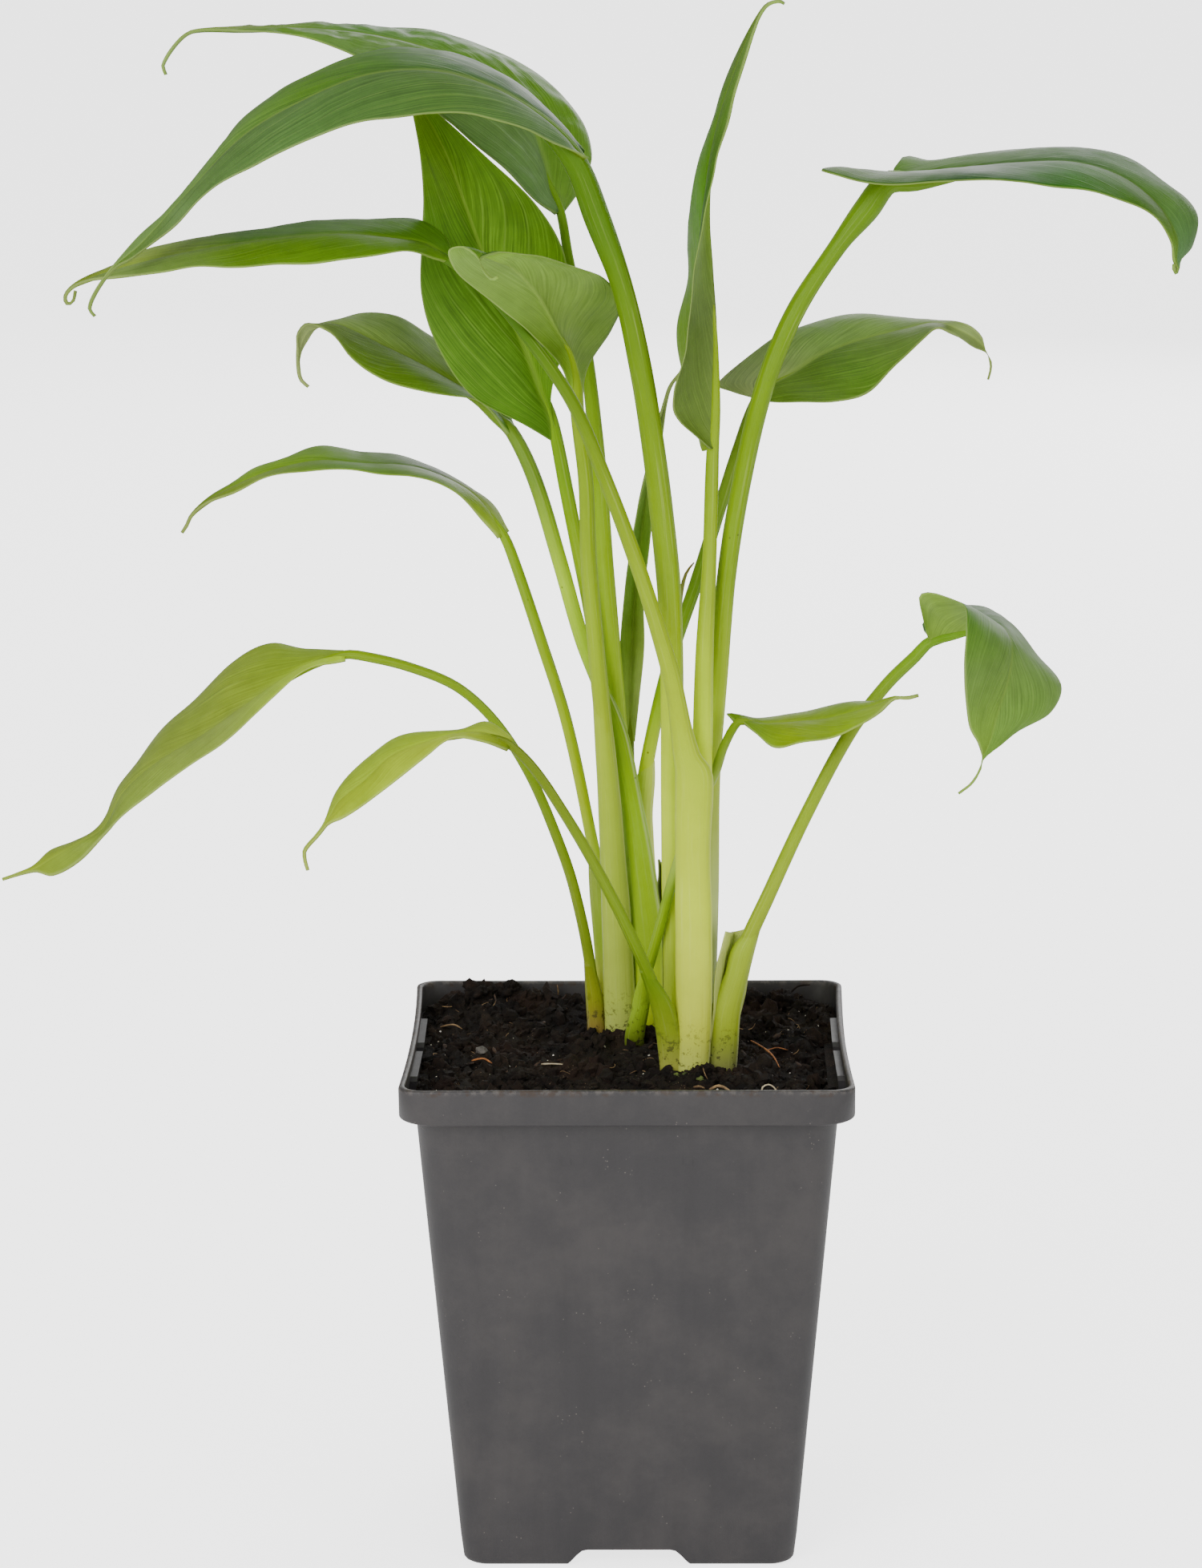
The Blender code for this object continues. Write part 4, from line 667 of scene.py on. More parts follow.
def mesh_object(name, verts, faces, floats=None, tint=None, skin=None, flat_angle=None):
    """An object at the origin from points and faces, with its values for the materials."""
    mesh = bpy.data.meshes.new(name)
    mesh.from_pydata([tuple(v) for v in verts], [], faces)
    mesh.validate()
    for key, values in (floats or {}).items():
        layer = mesh.attributes.new(key, "FLOAT", "POINT")
        layer.data.foreach_set("value", np.ravel(values).astype(np.float32))
    if skin is not None:
        layer = mesh.attributes.new("skin", "FLOAT_VECTOR", "POINT")
        layer.data.foreach_set("vector", np.ravel(skin).astype(np.float32))
    if tint is not None:
        layer = mesh.color_attributes.new("tint", "FLOAT_COLOR", "POINT")
        full = np.concatenate([tint, np.ones((len(tint), 1))], axis=1)
        layer.data.foreach_set("color", full.ravel().astype(np.float32))
    mesh.shade_smooth()
    if flat_angle is not None:
        mesh.set_sharp_from_angle(angle=math.radians(flat_angle))
    mesh.update()
    obj = bpy.data.objects.new(name, mesh)
    bpy.context.scene.collection.objects.link(obj)
    return obj


def solid_sheet(name, upper, lower, floats, tint):
    """A closed thin solid between two grids of points, upper and lower, of the same size."""
    rows, columns = upper.shape[:2]
    count = rows * columns
    verts = np.concatenate([upper.reshape(-1, 3), lower.reshape(-1, 3)])
    faces = []
    for i in range(rows - 1):
        for k in range(columns - 1):
            a, b = i * columns + k, i * columns + k + 1
            c, d = b + columns, a + columns
            faces.append((b, a, d, c))
            faces.append((count + a, count + b, count + c, count + d))
    for i in range(rows - 1):
        for a, flip in ((i * columns, False), (i * columns + columns - 1, True)):
            side = (a, count + a, count + a + columns, a + columns)
            faces.append(side[::-1] if flip else side)
    for k in range(columns - 1):
        for a, flip in ((k, True), ((rows - 1) * columns + k, False)):
            side = (a, count + a, count + a + 1, a + 1)
            faces.append(side[::-1] if flip else side)
    return mesh_object(name, verts, faces, floats, tint)


def lofted(name, rings, floats=None, tint=None, skin=None, flat_angle=None):
    """A closed solid over rings of equal size, with a point at the middle of each end."""
    rings = np.asarray(rings)
    levels, sides = rings.shape[:2]

    def with_ends(values):
        values = np.asarray(values, float).reshape((levels, sides) + np.shape(values)[2:])
        flat = values.reshape((-1,) + values.shape[2:])
        return np.concatenate([flat, [values[0].mean(axis=0)], [values[-1].mean(axis=0)]])

    faces = []
    for i in range(levels - 1):
        for k in range(sides):
            n = (k + 1) % sides
            faces.append((i * sides + k, i * sides + n, (i + 1) * sides + n, (i + 1) * sides + k))
    start, end = levels * sides, levels * sides + 1
    for k in range(sides):
        n = (k + 1) % sides
        faces.append((start, n, k))
        faces.append((end, (levels - 1) * sides + k, (levels - 1) * sides + n))
    return mesh_object(name, with_ends(rings), faces,
                       {key: with_ends(values) for key, values in (floats or {}).items()},
                       None if tint is None else with_ends(tint),
                       None if skin is None else with_ends(skin), flat_angle)


def ladder(table, places, depth=LEAF_DEPTH):
    """Linear colours read from a table of (place, colour) at each place."""
    stops = [place for place, color in table]
    colors = linear([color for place, color in table]) * depth
    return np.stack([np.interp(places, stops, colors[:, i]) for i in range(3)], axis=-1)


def carried_frames(route):
    """Two directions square to a route at each point, turned as little as possible along it."""
    along = unit(np.gradient(route, axis=0))
    side = np.array([1.0, 0.0, 0.0])
    sides = []
    for direction in along:
        side = side - direction * side.dot(direction)
        side = side / np.linalg.norm(side)
        sides.append(side)
    sides = np.array(sides)
    return sides, np.cross(along, sides)


def even_angles(count):
    return np.linspace(0, 2 * math.pi, count, endpoint=False)


def tube(route, sizes, count):
    """Rings of count points round a route, with a radius at each of its points."""
    sides, fronts = carried_frames(route)
    angles = even_angles(count)
    circle = np.cos(angles)[None, :, None] * sides[:, None]
    circle = circle + np.sin(angles)[None, :, None] * fronts[:, None]
    return route[:, None] + circle * np.asarray(sizes).reshape(len(route), -1)[:, :, None]


def skin_place(angles, route):
    """Where each point of a tube lies round it and, in millimetres, along it, for the fibres."""
    place = np.zeros((len(route), len(angles), 3))
    place[..., 0] = np.cos(angles)[None]
    place[..., 1] = np.sin(angles)[None]
    place[..., 2] = stations_of(route)[:, None] / MM
    return place


def blade_rows(leaf):
    """Left margin, midrib and right margin down a blade, its tail included, in metres."""
    rows = [to_world(row) for row in leaf["blade"]]
    side = rows[-1][0] - rows[-1][2]
    half = np.linalg.norm(side) / 2
    previous = rows[-1][1]
    count = len(leaf["tail"])
    for i, point in enumerate(leaf["tail"]):
        point = to_world(point)
        along = unit(point - previous)
        side = unit(side - along * side.dot(along))
        share = (i + 1) / count
        width = min(half, TAIL_HALF) * (1 - share) + TIP_HALF * share
        rows.append(np.array([point + side * width, point, point - side * width]))
        previous = point
    return np.array(rows)


def make_blade(name, leaf, look, seed):
    """A leaf blade: a thin closed sheet with a raised rib below and thin margins."""
    rows = blade_rows(leaf)
    stations = stations_of(rows[:, 1])
    length = stations[-1]
    samples = np.linspace(0, length, max(int(length / LEAF_STEP), 24))
    left, rib, right = (smooth(rows[:, i], stations, samples) for i in range(3))
    along = unit(np.gradient(rib, axis=0))
    face = unit(np.cross(along, left - right))
    kernel = np.ones(5) / 5
    face = unit(np.stack([np.convolve(np.pad(face[:, i], 2, "edge"), kernel, "valid")
                          for i in range(3)], axis=1))
    across = np.linspace(-1, 1, BLADE_COLUMNS)
    out = np.abs(across)[None, :, None]
    margin = np.where(across[None, :, None] < 0, left[:, None], right[:, None])
    reach = np.linalg.norm(margin - rib[:, None], axis=2)
    share = np.repeat((samples / length)[:, None], BLADE_COLUMNS, axis=1)
    middle = rib[:, None] + (margin - rib[:, None]) * out
    from_rib = reach * out[:, :, 0]
    rise = ARCH * reach * 4 * out[:, :, 0] * (1 - out[:, :, 0])
    waves = look.get("wave", 1.0) * WAVE_RISE * out[:, :, 0] ** 2 * smoothstep(0, 0.004, reach)
    rise = rise + waves * wander(middle, 90, seed) * 2
    rise = rise + look.get("pucker", 0.12) * PUCKER_RISE * wander(middle, 330, seed + 9) * smoothstep(
        0.0005, 0.003, from_rib) * smoothstep(0, 0.15, 1 - out[:, :, 0])
    middle = middle + face[:, None] * rise[:, :, None]
    rib_size = np.interp(samples / length, [0, 0.35, 0.8, 1],
                         [leaf["stalk"][-1][3] * MM * 0.9, RIB_MIDDLE, RIB_FAR, RIB_TIP])
    bulge = rib_size[:, None] * np.exp(-(from_rib / (rib_size[:, None] * 1.15)) ** 2)
    groove = rib_size[:, None] * 0.25 * np.exp(-(from_rib / (rib_size[:, None] * 0.7)) ** 2)
    groove = groove * smoothstep(0.02, 0.12, share)
    half = (MARGIN_THICK + (BLADE_THICK - MARGIN_THICK)
            * np.exp(-(from_rib / 0.004) ** 2)) / 2
    half = np.minimum(half, reach * 0.6 + 0.0001)
    upper = middle + face[:, None] * (half - groove)[:, :, None]
    lower = middle - face[:, None] * (half + bulge)[:, :, None]
    floats = {"across": across[None, :] * np.ones_like(reach), "share": share,
              "from_rib": from_rib / MM, "to_edge": (reach - from_rib) / MM,
              "rib": np.repeat(rib_size[:, None] / MM, BLADE_COLUMNS, axis=1)}
    right_half = smoothstep(-0.12, 0.12, across)[None, :, None]
    tints = []
    for side in ("upper", "lower"):
        table = look[side]
        left_tint = ladder([(row[0], row[1]) for row in table], share)
        right_tint = ladder([(row[0], row[-1]) for row in table], share)
        tints.append((left_tint * (1 - right_half) + right_tint * right_half).reshape(-1, 3))
    floats = {key: np.stack([value, value]) for key, value in floats.items()}
    both_faces = np.ones((2,) + share.shape)
    floats["upper_face"] = both_faces * np.array([1, 0])[:, None, None]
    floats["vein_strength"] = both_faces * look["vein"]
    floats["shine"] = both_faces * look.get("shine", 0.0)
    return solid_sheet(name, upper, lower, floats, np.concatenate(tints))


def stalk_route(leaf, flare=1.0):
    """The stalk's middle line and radius, run on under the blade's rib, close together."""
    knots = to_world([point[:3] for point in leaf["stalk"]])
    radii = [point[3] * MM for point in leaf["stalk"]]
    radii[-1] *= flare
    rows = blade_rows(leaf)
    stations = stations_of(rows[:, 1])
    run_on = np.linspace(0.0, stations[-1] * 0.3, 5)
    left, rib, right = (smooth(rows[:, i], stations, run_on) for i in range(3))
    face = unit(np.cross(unit(np.gradient(rib, axis=0)), left - right))
    sizes = np.linspace(radii[-1] * 0.92, 0.0004, 5)
    under = rib - face * (sizes * np.array([0.2, 0.7, 0.9, 1.0, 0.8]))[:, None]
    knots = np.concatenate([knots, under])
    radii = np.concatenate([radii, sizes])
    stations = stations_of(knots)
    samples = np.linspace(0, stations[-1], int(stations[-1] / STALK_STEP))
    return smooth(knots, stations, samples), smooth(radii, stations, samples)[:, 0]


def make_stalk(name, route, radii, colors, seed):
    """A round, softly ridged stalk with a closed end."""
    angles = even_angles(STALK_SIDES)
    ridges = 1 + 0.018 * np.sin(angles * 7 + seed) + 0.012 * np.sin(angles * 11 + seed * 2.3)
    swell = 1 + 0.03 * wander(route, 70, seed)
    rings = tube(route, (radii * swell)[:, None] * ridges[None], STALK_SIDES)
    heights = (rings[..., 2] - SOIL_LINE) / MM
    return lofted(name, rings, {"height": heights}, stalk_tint(colors, heights),
                  skin_place(angles, route))


def stalk_tint(colors, heights):
    """Stalk colours: light at the foot, deepening to the blade, with painted light added at the foot to
    offset the shade inside the pot.
    """
    # Up to 30 mm, fading out by 80 mm, the colours take FOOT_DEPTH: painted light on the feet.
    low = (1 - smoothstep(30, 80, heights))[..., None]
    return ladder(colors, heights) * (1 - low) + ladder(colors, heights, FOOT_DEPTH) * low


def make_sheath(name, rows, colors, edge, seed):
    """A stalk's sheath: wrapped round it with one free edge, closed where it narrows at its top."""
    stalk = np.array(LEAVES[name]["stalk"], float)
    wrapped = []
    for height, x, half in rows:
        stalk_x, stalk_y, radius = (np.interp(height, stalk[:, 2], stalk[:, k]) for k in (0, 1, 3))
        if height == rows[-1][0]:
            x, half, radius = stalk_x, 0, radius * 0.86
        else:
            radius += 0.35
        low, high = min(x - half, stalk_x - radius), max(x + half, stalk_x + radius)
        wrapped.append(((low + high) / 2, stalk_y, height, (high - low) / 2, max(half * 0.7, radius)))
    knots = to_world([row[:3] for row in wrapped])
    stations = stations_of(knots)
    samples = np.linspace(0, stations[-1], max(int(stations[-1] / SHEATH_STEP), 12))
    route = smooth(knots, stations, samples)
    sizes = smooth([[row[3] * MM, row[4] * MM] for row in wrapped], stations, samples)
    angles = even_angles(SHEATH_SIDES)
    turn = (angles - math.radians(edge)) % (2 * math.pi)
    lap = 1 + SHEATH_LAP * (1 - turn / (2 * math.pi))
    ridges = 1 + 0.003 * np.sin(angles * 9 + seed) + 0.002 * np.sin(angles * 14 + seed * 1.7)
    sizes = sizes * (1 + 0.035 * wander(route, 110, seed))[:, None]
    rings = np.repeat(route[:, None], SHEATH_SIDES, axis=1)
    rings[..., 0] += sizes[:, :1] * (np.cos(angles) * lap * ridges)[None]
    rings[..., 1] += sizes[:, 1:] * (np.sin(angles) * lap * ridges)[None]
    heights = (rings[..., 2] - SOIL_LINE) / MM
    pale = (1 - smoothstep(0.05, 0.2, turn))[None, :, None] * 0.35
    tint = stalk_tint(colors, heights)
    tint = tint * (1 - pale) + linear(SHEATH_EDGE_PALE) * pale
    return lofted(name + "_sheath_wrap", rings, {"height": heights}, tint, skin_place(angles, route))


def rounded_square(half, radius, height, side_steps):
    """Points round a square with round corners, counter-clockwise from above."""
    corners = []
    inner = half - radius
    for corner in range(4):
        centre = ((inner if corner in (0, 3) else -inner), (inner if corner in (0, 1) else -inner))
        for step in range(CORNER_STEPS + 1):
            angle = (corner + step / CORNER_STEPS) * math.pi / 2
            corners.append((centre[0] + radius * math.cos(angle),
                            centre[1] + radius * math.sin(angle), height))
    points = []
    for i, point in enumerate(corners):
        points.append(point)
        if i % (CORNER_STEPS + 1) == CORNER_STEPS:
            following = corners[(i + 1) % len(corners)]
            for step in range(1, side_steps):
                points.append(tuple(a + (b - a) * step / side_steps
                                    for a, b in zip(point, following)))
    return points


def soil_height(x, y):
    height = SOIL_LINE
    for heap_x, heap_y, rise, spread in SOIL_HEAPS:
        height += rise * math.exp(-((x - heap_x) ** 2 + (y - heap_y) ** 2) / (2 * spread ** 2))
    return height


# Colours of the finishes, as red, green and blue from 0 to 255
VEIN_PALE = (168, 190, 100)
RIB_PALE = (170, 192, 80)
MARGIN_PALE = (172, 190, 110)
FIBRE_PALE = (206, 214, 140)
SOIL_SMEAR = (46, 36, 24)
STALK_SPECK = (60, 62, 20)
POT_GREY = (50, 48, 49)
POT_SCUFF = (128, 120, 112)
POT_DUST = (120, 112, 106)
LIP_RESIDUE = (52, 38, 27)
WARM_PEAT = (46, 27, 18)
SOIL_DUST = (150, 128, 100)


class Nodes:
    """Short ways to add and join nodes in one tree."""

    def __init__(self, tree):
        self.tree = tree

    def add(self, kind, inputs=None, **settings):
        node = self.tree.nodes.new(kind)
        for key, value in settings.items():
            setattr(node, key, value)
        for key, value in (inputs or {}).items():
            self.feed(node.inputs[key], value)
        return node

    def feed(self, socket, value):
        if isinstance(value, bpy.types.NodeSocket):
            self.tree.links.new(value, socket)
        elif isinstance(value, (list, tuple, np.ndarray)) and len(value) == 3 and socket.type == "RGBA":
            socket.default_value = (*value, 1)
        else:
            socket.default_value = value

    def math(self, operation, *values, clamp=False):
        node = self.add("ShaderNodeMath", operation=operation, use_clamp=clamp)
        for socket, value in zip(node.inputs, values):
            self.feed(socket, value)
        return node.outputs[0]

    def ramp(self, value, low, high, out_low=0.0, out_high=1.0):
        node = self.add("ShaderNodeMapRange", {"Value": value, "From Min": low, "From Max": high,
                                               "To Min": out_low, "To Max": out_high},
                        interpolation_type="SMOOTHSTEP")
        return node.outputs["Result"]

    def mix(self, factor, first, second):
        node = self.add("ShaderNodeMix", data_type="RGBA")
        self.feed(node.inputs[0], factor)
        self.feed(node.inputs[6], first)
        self.feed(node.inputs[7], second)
        return node.outputs[2]

    def scaled(self, color, factor):
        """A colour made lighter or darker by a factor that may change over the surface."""
        node = self.add("ShaderNodeVectorMath", operation="SCALE")
        self.feed(node.inputs[0], color)
        self.feed(node.inputs["Scale"], factor)
        return node.outputs[0]

    def noise(self, vector, scale, detail=3.0, roughness=0.5):
        node = self.add("ShaderNodeTexNoise", {"Vector": vector, "Scale": scale, "Detail": detail,
                                               "Roughness": roughness})
        return node.outputs["Fac"]

    def attribute(self, name, output="Fac"):
        return self.add("ShaderNodeAttribute", attribute_name=name).outputs[output]

    def object_place(self):
        return self.add("ShaderNodeTexCoord").outputs["Object"]

    def stretched(self, vector, scale):
        return self.add("ShaderNodeMapping", {"Vector": vector, "Scale": scale}).outputs[0]


def effect(name, inputs, outputs):
    """A new shader node group with named sockets, its nodes, its input and its output node."""
    tree = bpy.data.node_groups.new(name, "ShaderNodeTree")
    for label, kind, value in inputs:
        socket = tree.interface.new_socket(name=label, in_out="INPUT", socket_type=kind)
        if value is not None:
            socket.default_value = value
    for label, kind in outputs:
        tree.interface.new_socket(name=label, in_out="OUTPUT", socket_type=kind)
    nodes = Nodes(tree)
    source = nodes.add("NodeGroupInput")
    sink = nodes.add("NodeGroupOutput")
    return nodes, source.outputs, sink.inputs


def dust_effect():
    """Pale specks and a thin film of dust."""
    nodes, source, sink = effect(
        "dust", [("Color", "NodeSocketColor", None), ("Dust", "NodeSocketColor", None),
                 ("Film", "NodeSocketFloat", 0.1), ("Specks", "NodeSocketFloat", 0.3),
                 ("Scale", "NodeSocketFloat", 900.0)],
        [("Color", "NodeSocketColor"), ("Mask", "NodeSocketFloat")])
    place = nodes.object_place()
    film = nodes.math("MULTIPLY", nodes.ramp(nodes.noise(place, 60, 5, 0.65), 0.35, 0.75), source["Film"])
    cells = nodes.add("ShaderNodeTexVoronoi", {"Vector": place, "Scale": source["Scale"]})
    dots = nodes.ramp(cells.outputs["Distance"], 0.10, 0.22, 1.0, 0.0)
    chosen = nodes.ramp(nodes.noise(place, 230, 2), 0.60, 0.66)
    specks = nodes.math("MULTIPLY", nodes.math("MULTIPLY", dots, chosen), source["Specks"])
    mask = nodes.math("MAXIMUM", film, specks)
    nodes.feed(sink["Color"], nodes.mix(mask, source["Color"], source["Dust"]))
    nodes.feed(sink["Mask"], mask)
    return nodes.tree


def leaf_skin_effect():
    """Mottling and small pits of living leaf skin, for blades, stalks and sheaths."""
    nodes, source, sink = effect(
        "leaf_skin", [("Color", "NodeSocketColor", None), ("Mottle", "NodeSocketFloat", 0.12),
                      ("Scale", "NodeSocketFloat", 260.0)],
        [("Color", "NodeSocketColor"), ("Height", "NodeSocketFloat"), ("Gloss", "NodeSocketFloat")])
    place = nodes.object_place()
    broad = nodes.noise(place, 45, 3)
    fine = nodes.noise(place, source["Scale"], 4, 0.6)
    both = nodes.math("ADD", nodes.math("MULTIPLY", broad, 1.2), fine)
    shift = nodes.math("MULTIPLY", nodes.math("SUBTRACT", both, 1.1), source["Mottle"])
    nodes.feed(sink["Color"], nodes.scaled(source["Color"], nodes.math("ADD", shift, 1.0)))
    pits = nodes.noise(place, 2600, 2, 0.6)
    nodes.feed(sink["Height"], nodes.math("ADD", nodes.math("MULTIPLY", fine, 0.7),
                                          nodes.math("MULTIPLY", pits, 0.25)))
    nodes.feed(sink["Gloss"], nodes.ramp(broad, 0.3, 0.7, 0.0, 1.0))
    return nodes.tree


def fibre_effect():
    """Fine ridges that run along a stalk or a sheath."""
    nodes, source, sink = effect(
        "fibres", [("Color", "NodeSocketColor", None), ("Strength", "NodeSocketFloat", 0.1),
                   ("Count", "NodeSocketFloat", 5.0), ("Pale", "NodeSocketColor", None)],
        [("Color", "NodeSocketColor"), ("Height", "NodeSocketFloat")])
    skin = nodes.attribute("skin", "Vector")
    split = nodes.add("ShaderNodeSeparateXYZ", {"Vector": skin})
    joined = nodes.add("ShaderNodeCombineXYZ", {
        "X": nodes.math("MULTIPLY", split.outputs[0], source["Count"]),
        "Y": nodes.math("MULTIPLY", split.outputs[1], source["Count"]),
        "Z": nodes.math("MULTIPLY", split.outputs[2], 0.035)})
    lines = nodes.noise(joined.outputs[0], 1.0, 4, 0.65)
    marks = nodes.ramp(lines, 0.52, 0.72)
    nodes.feed(sink["Color"], nodes.mix(nodes.math("MULTIPLY", marks, source["Strength"]),
                                        source["Color"], source["Pale"]))
    nodes.feed(sink["Height"], lines)
    return nodes.tree


def new_material(name, roughness=0.5, **constants):
    material = bpy.data.materials.new(name)
    material.use_nodes = True
    nodes = Nodes(material.node_tree)
    shader = material.node_tree.nodes["Principled BSDF"]
    shader.inputs["Roughness"].default_value = roughness
    for key, value in constants.items():
        shader.inputs[key.replace("_", " ")].default_value = value
    return material, nodes, shader


def placed(nodes, tree, **inputs):
    node = nodes.add("ShaderNodeGroup")
    node.node_tree = tree
    for key, value in inputs.items():
        nodes.feed(node.inputs[key], value)
    return node.outputs


def bumped(nodes, shader, height, strength, distance):
    bump = nodes.add("ShaderNodeBump", {"Height": height, "Strength": strength, "Distance": distance})
    nodes.feed(shader.inputs["Normal"], bump.outputs[0])


def blade_material(effects):
    """Leaf blades: arched side veins, a rib, thin pale margins, waxy mottled skin."""
    material, nodes, shader = new_material(
        "calla_leaf_blade", 0.42, Subsurface_Weight=0.08, Subsurface_Scale=0.0012,
        Specular_IOR_Level=0.12, Coat_Roughness=0.22)
    shader.inputs["Subsurface Radius"].default_value = (0.6, 1.0, 0.2)
    tint = nodes.attribute("tint", "Color")
    skin = placed(nodes, effects["leaf_skin"], Color=tint, Mottle=0.42, Scale=300.0)
    across = nodes.attribute("across")
    share = nodes.attribute("share")
    out = nodes.math("ABSOLUTE", across)
    place = nodes.object_place()
    drift = nodes.math("MULTIPLY", nodes.math("SUBTRACT", nodes.noise(place, 60, 2), 0.5), 0.06)
    sweep = nodes.math("MULTIPLY_ADD", nodes.math("POWER", out, 0.75), 0.46,
                       nodes.math("MULTIPLY", nodes.math("POWER", out, 4.0), 0.16))
    course = nodes.math("ADD", nodes.math("SUBTRACT", share, sweep), drift)
    path = nodes.add("ShaderNodeCombineXYZ", {
        "X": nodes.math("MULTIPLY", course, STREAKS), "Y": nodes.math("MULTIPLY", across, 2.4),
        "Z": nodes.math("MULTIPLY", nodes.math("SIGN", across), 4.0)})
    streaks = nodes.noise(path.outputs[0], 1.0, 4, 0.6)
    wave = nodes.math("SINE", nodes.math("MULTIPLY", course, VEIN_PAIRS * 2 * math.pi))
    main_veins = nodes.math("POWER", nodes.math("MULTIPLY_ADD", wave, 0.5, 0.5), VEIN_SHARPNESS)
    fading = nodes.ramp(nodes.noise(place, 80, 2), 0.38, 0.62, 0.2, 1.0)
    main_veins = nodes.math("MULTIPLY", main_veins, fading)
    inner = nodes.ramp(out, 0.93, 1.0, 1.0, 0.0)
    strength = nodes.math("MULTIPLY", nodes.attribute("vein_strength"), inner)
    veins = nodes.math("MULTIPLY_ADD", nodes.ramp(streaks, 0.50, 0.66), 0.45, main_veins, clamp=True)
    pale = nodes.mix(0.35, nodes.scaled(tint, 1.45), linear(VEIN_PALE))
    contrast = nodes.math("MULTIPLY_ADD", strength, 2.0, 0.5)
    streaked = nodes.scaled(skin["Color"], nodes.math(
        "MULTIPLY_ADD", nodes.math("SUBTRACT", streaks, 0.5), contrast, 1.0))
    colored = nodes.mix(nodes.math("MULTIPLY", nodes.math("MULTIPLY", veins, strength), 0.42),
                        streaked, pale)
    from_rib = nodes.attribute("from_rib")
    rib = nodes.attribute("rib")
    near_rib = nodes.ramp(nodes.math("DIVIDE", from_rib, rib), 0.35, 1.25, 1.0, 0.0)
    rib_pale = nodes.mix(0.35, nodes.scaled(tint, 1.35), linear(RIB_PALE))
    rib_share = nodes.math("MULTIPLY_ADD", nodes.attribute("vein_strength"), 0.4, 0.12)
    colored = nodes.mix(nodes.math("MULTIPLY", near_rib, rib_share), colored, rib_pale)
    margin = nodes.ramp(nodes.attribute("to_edge"), 0.12, 0.45, 1.0, 0.0)
    colored = nodes.mix(nodes.math("MULTIPLY", margin, 0.3), colored, linear(MARGIN_PALE))
    nodes.feed(shader.inputs["Base Color"], colored)
    shine = nodes.attribute("shine")
    nodes.feed(shader.inputs["Roughness"], nodes.math(
        "MULTIPLY_ADD", shine, -0.08, nodes.ramp(skin["Gloss"], 0, 1, 0.36, 0.50)))
    nodes.feed(shader.inputs["Coat Weight"], nodes.math("MULTIPLY", shine, 0.35))
    turned = nodes.math("MULTIPLY_ADD", nodes.attribute("upper_face"), -2.0, 1.0)
    relief = nodes.math("MULTIPLY", nodes.math("MULTIPLY", veins, turned), inner)
    height = nodes.math("MULTIPLY_ADD", relief, 0.55, skin["Height"])
    bumped(nodes, shader, height, 0.55, 0.00016)
    return material


def stalk_material(effects):
    """Stalks: pale at the foot, partly by painted light, greener up, with fine ridges, specks and a satin
    skin.
    """
    roughness = 0.36
    material, nodes, shader = new_material(
        "calla_stalk", roughness, Subsurface_Weight=0.07, Subsurface_Scale=0.002, Specular_IOR_Level=0.14)
    shader.inputs["Subsurface Radius"].default_value = (1.0, 1.3, 0.4)
    tint = nodes.attribute("tint", "Color")
    skin = placed(nodes, effects["leaf_skin"], Color=tint, Mottle=0.16, Scale=240.0)
    ridged = placed(nodes, effects["fibres"], Color=skin["Color"], Strength=0.38, Count=4.5,
                    Pale=nodes.mix(0.5, nodes.scaled(tint, 1.25), linear(FIBRE_PALE)))
    place = nodes.object_place()
    height = nodes.attribute("height")
    low = nodes.ramp(height, 1.0, 15.0, 1.0, 0.0)
    smear = nodes.math("MULTIPLY", nodes.ramp(nodes.noise(place, 560, 5, 0.75), 0.54, 0.62), low)
    soiled = nodes.mix(nodes.math("MULTIPLY", smear, 0.85), ridged["Color"], linear(SOIL_SMEAR))
    cells = nodes.add("ShaderNodeTexVoronoi", {"Vector": place, "Scale": 420.0})
    dots = nodes.math("MULTIPLY", nodes.ramp(cells.outputs["Distance"], 0.05, 0.12, 1.0, 0.0),
                      nodes.ramp(nodes.noise(place, 60, 2), 0.60, 0.66))
    specked = nodes.mix(nodes.math("MULTIPLY", dots, 0.7), soiled, linear(STALK_SPECK))
    nodes.feed(shader.inputs["Base Color"], specked)
    nodes.feed(shader.inputs["Roughness"], nodes.ramp(smear, 0, 1, roughness, 0.85))
    bumped(nodes, shader, nodes.math("MULTIPLY_ADD", ridged["Height"], 1.6, skin["Height"]),
           0.5, 0.00022)
    return material


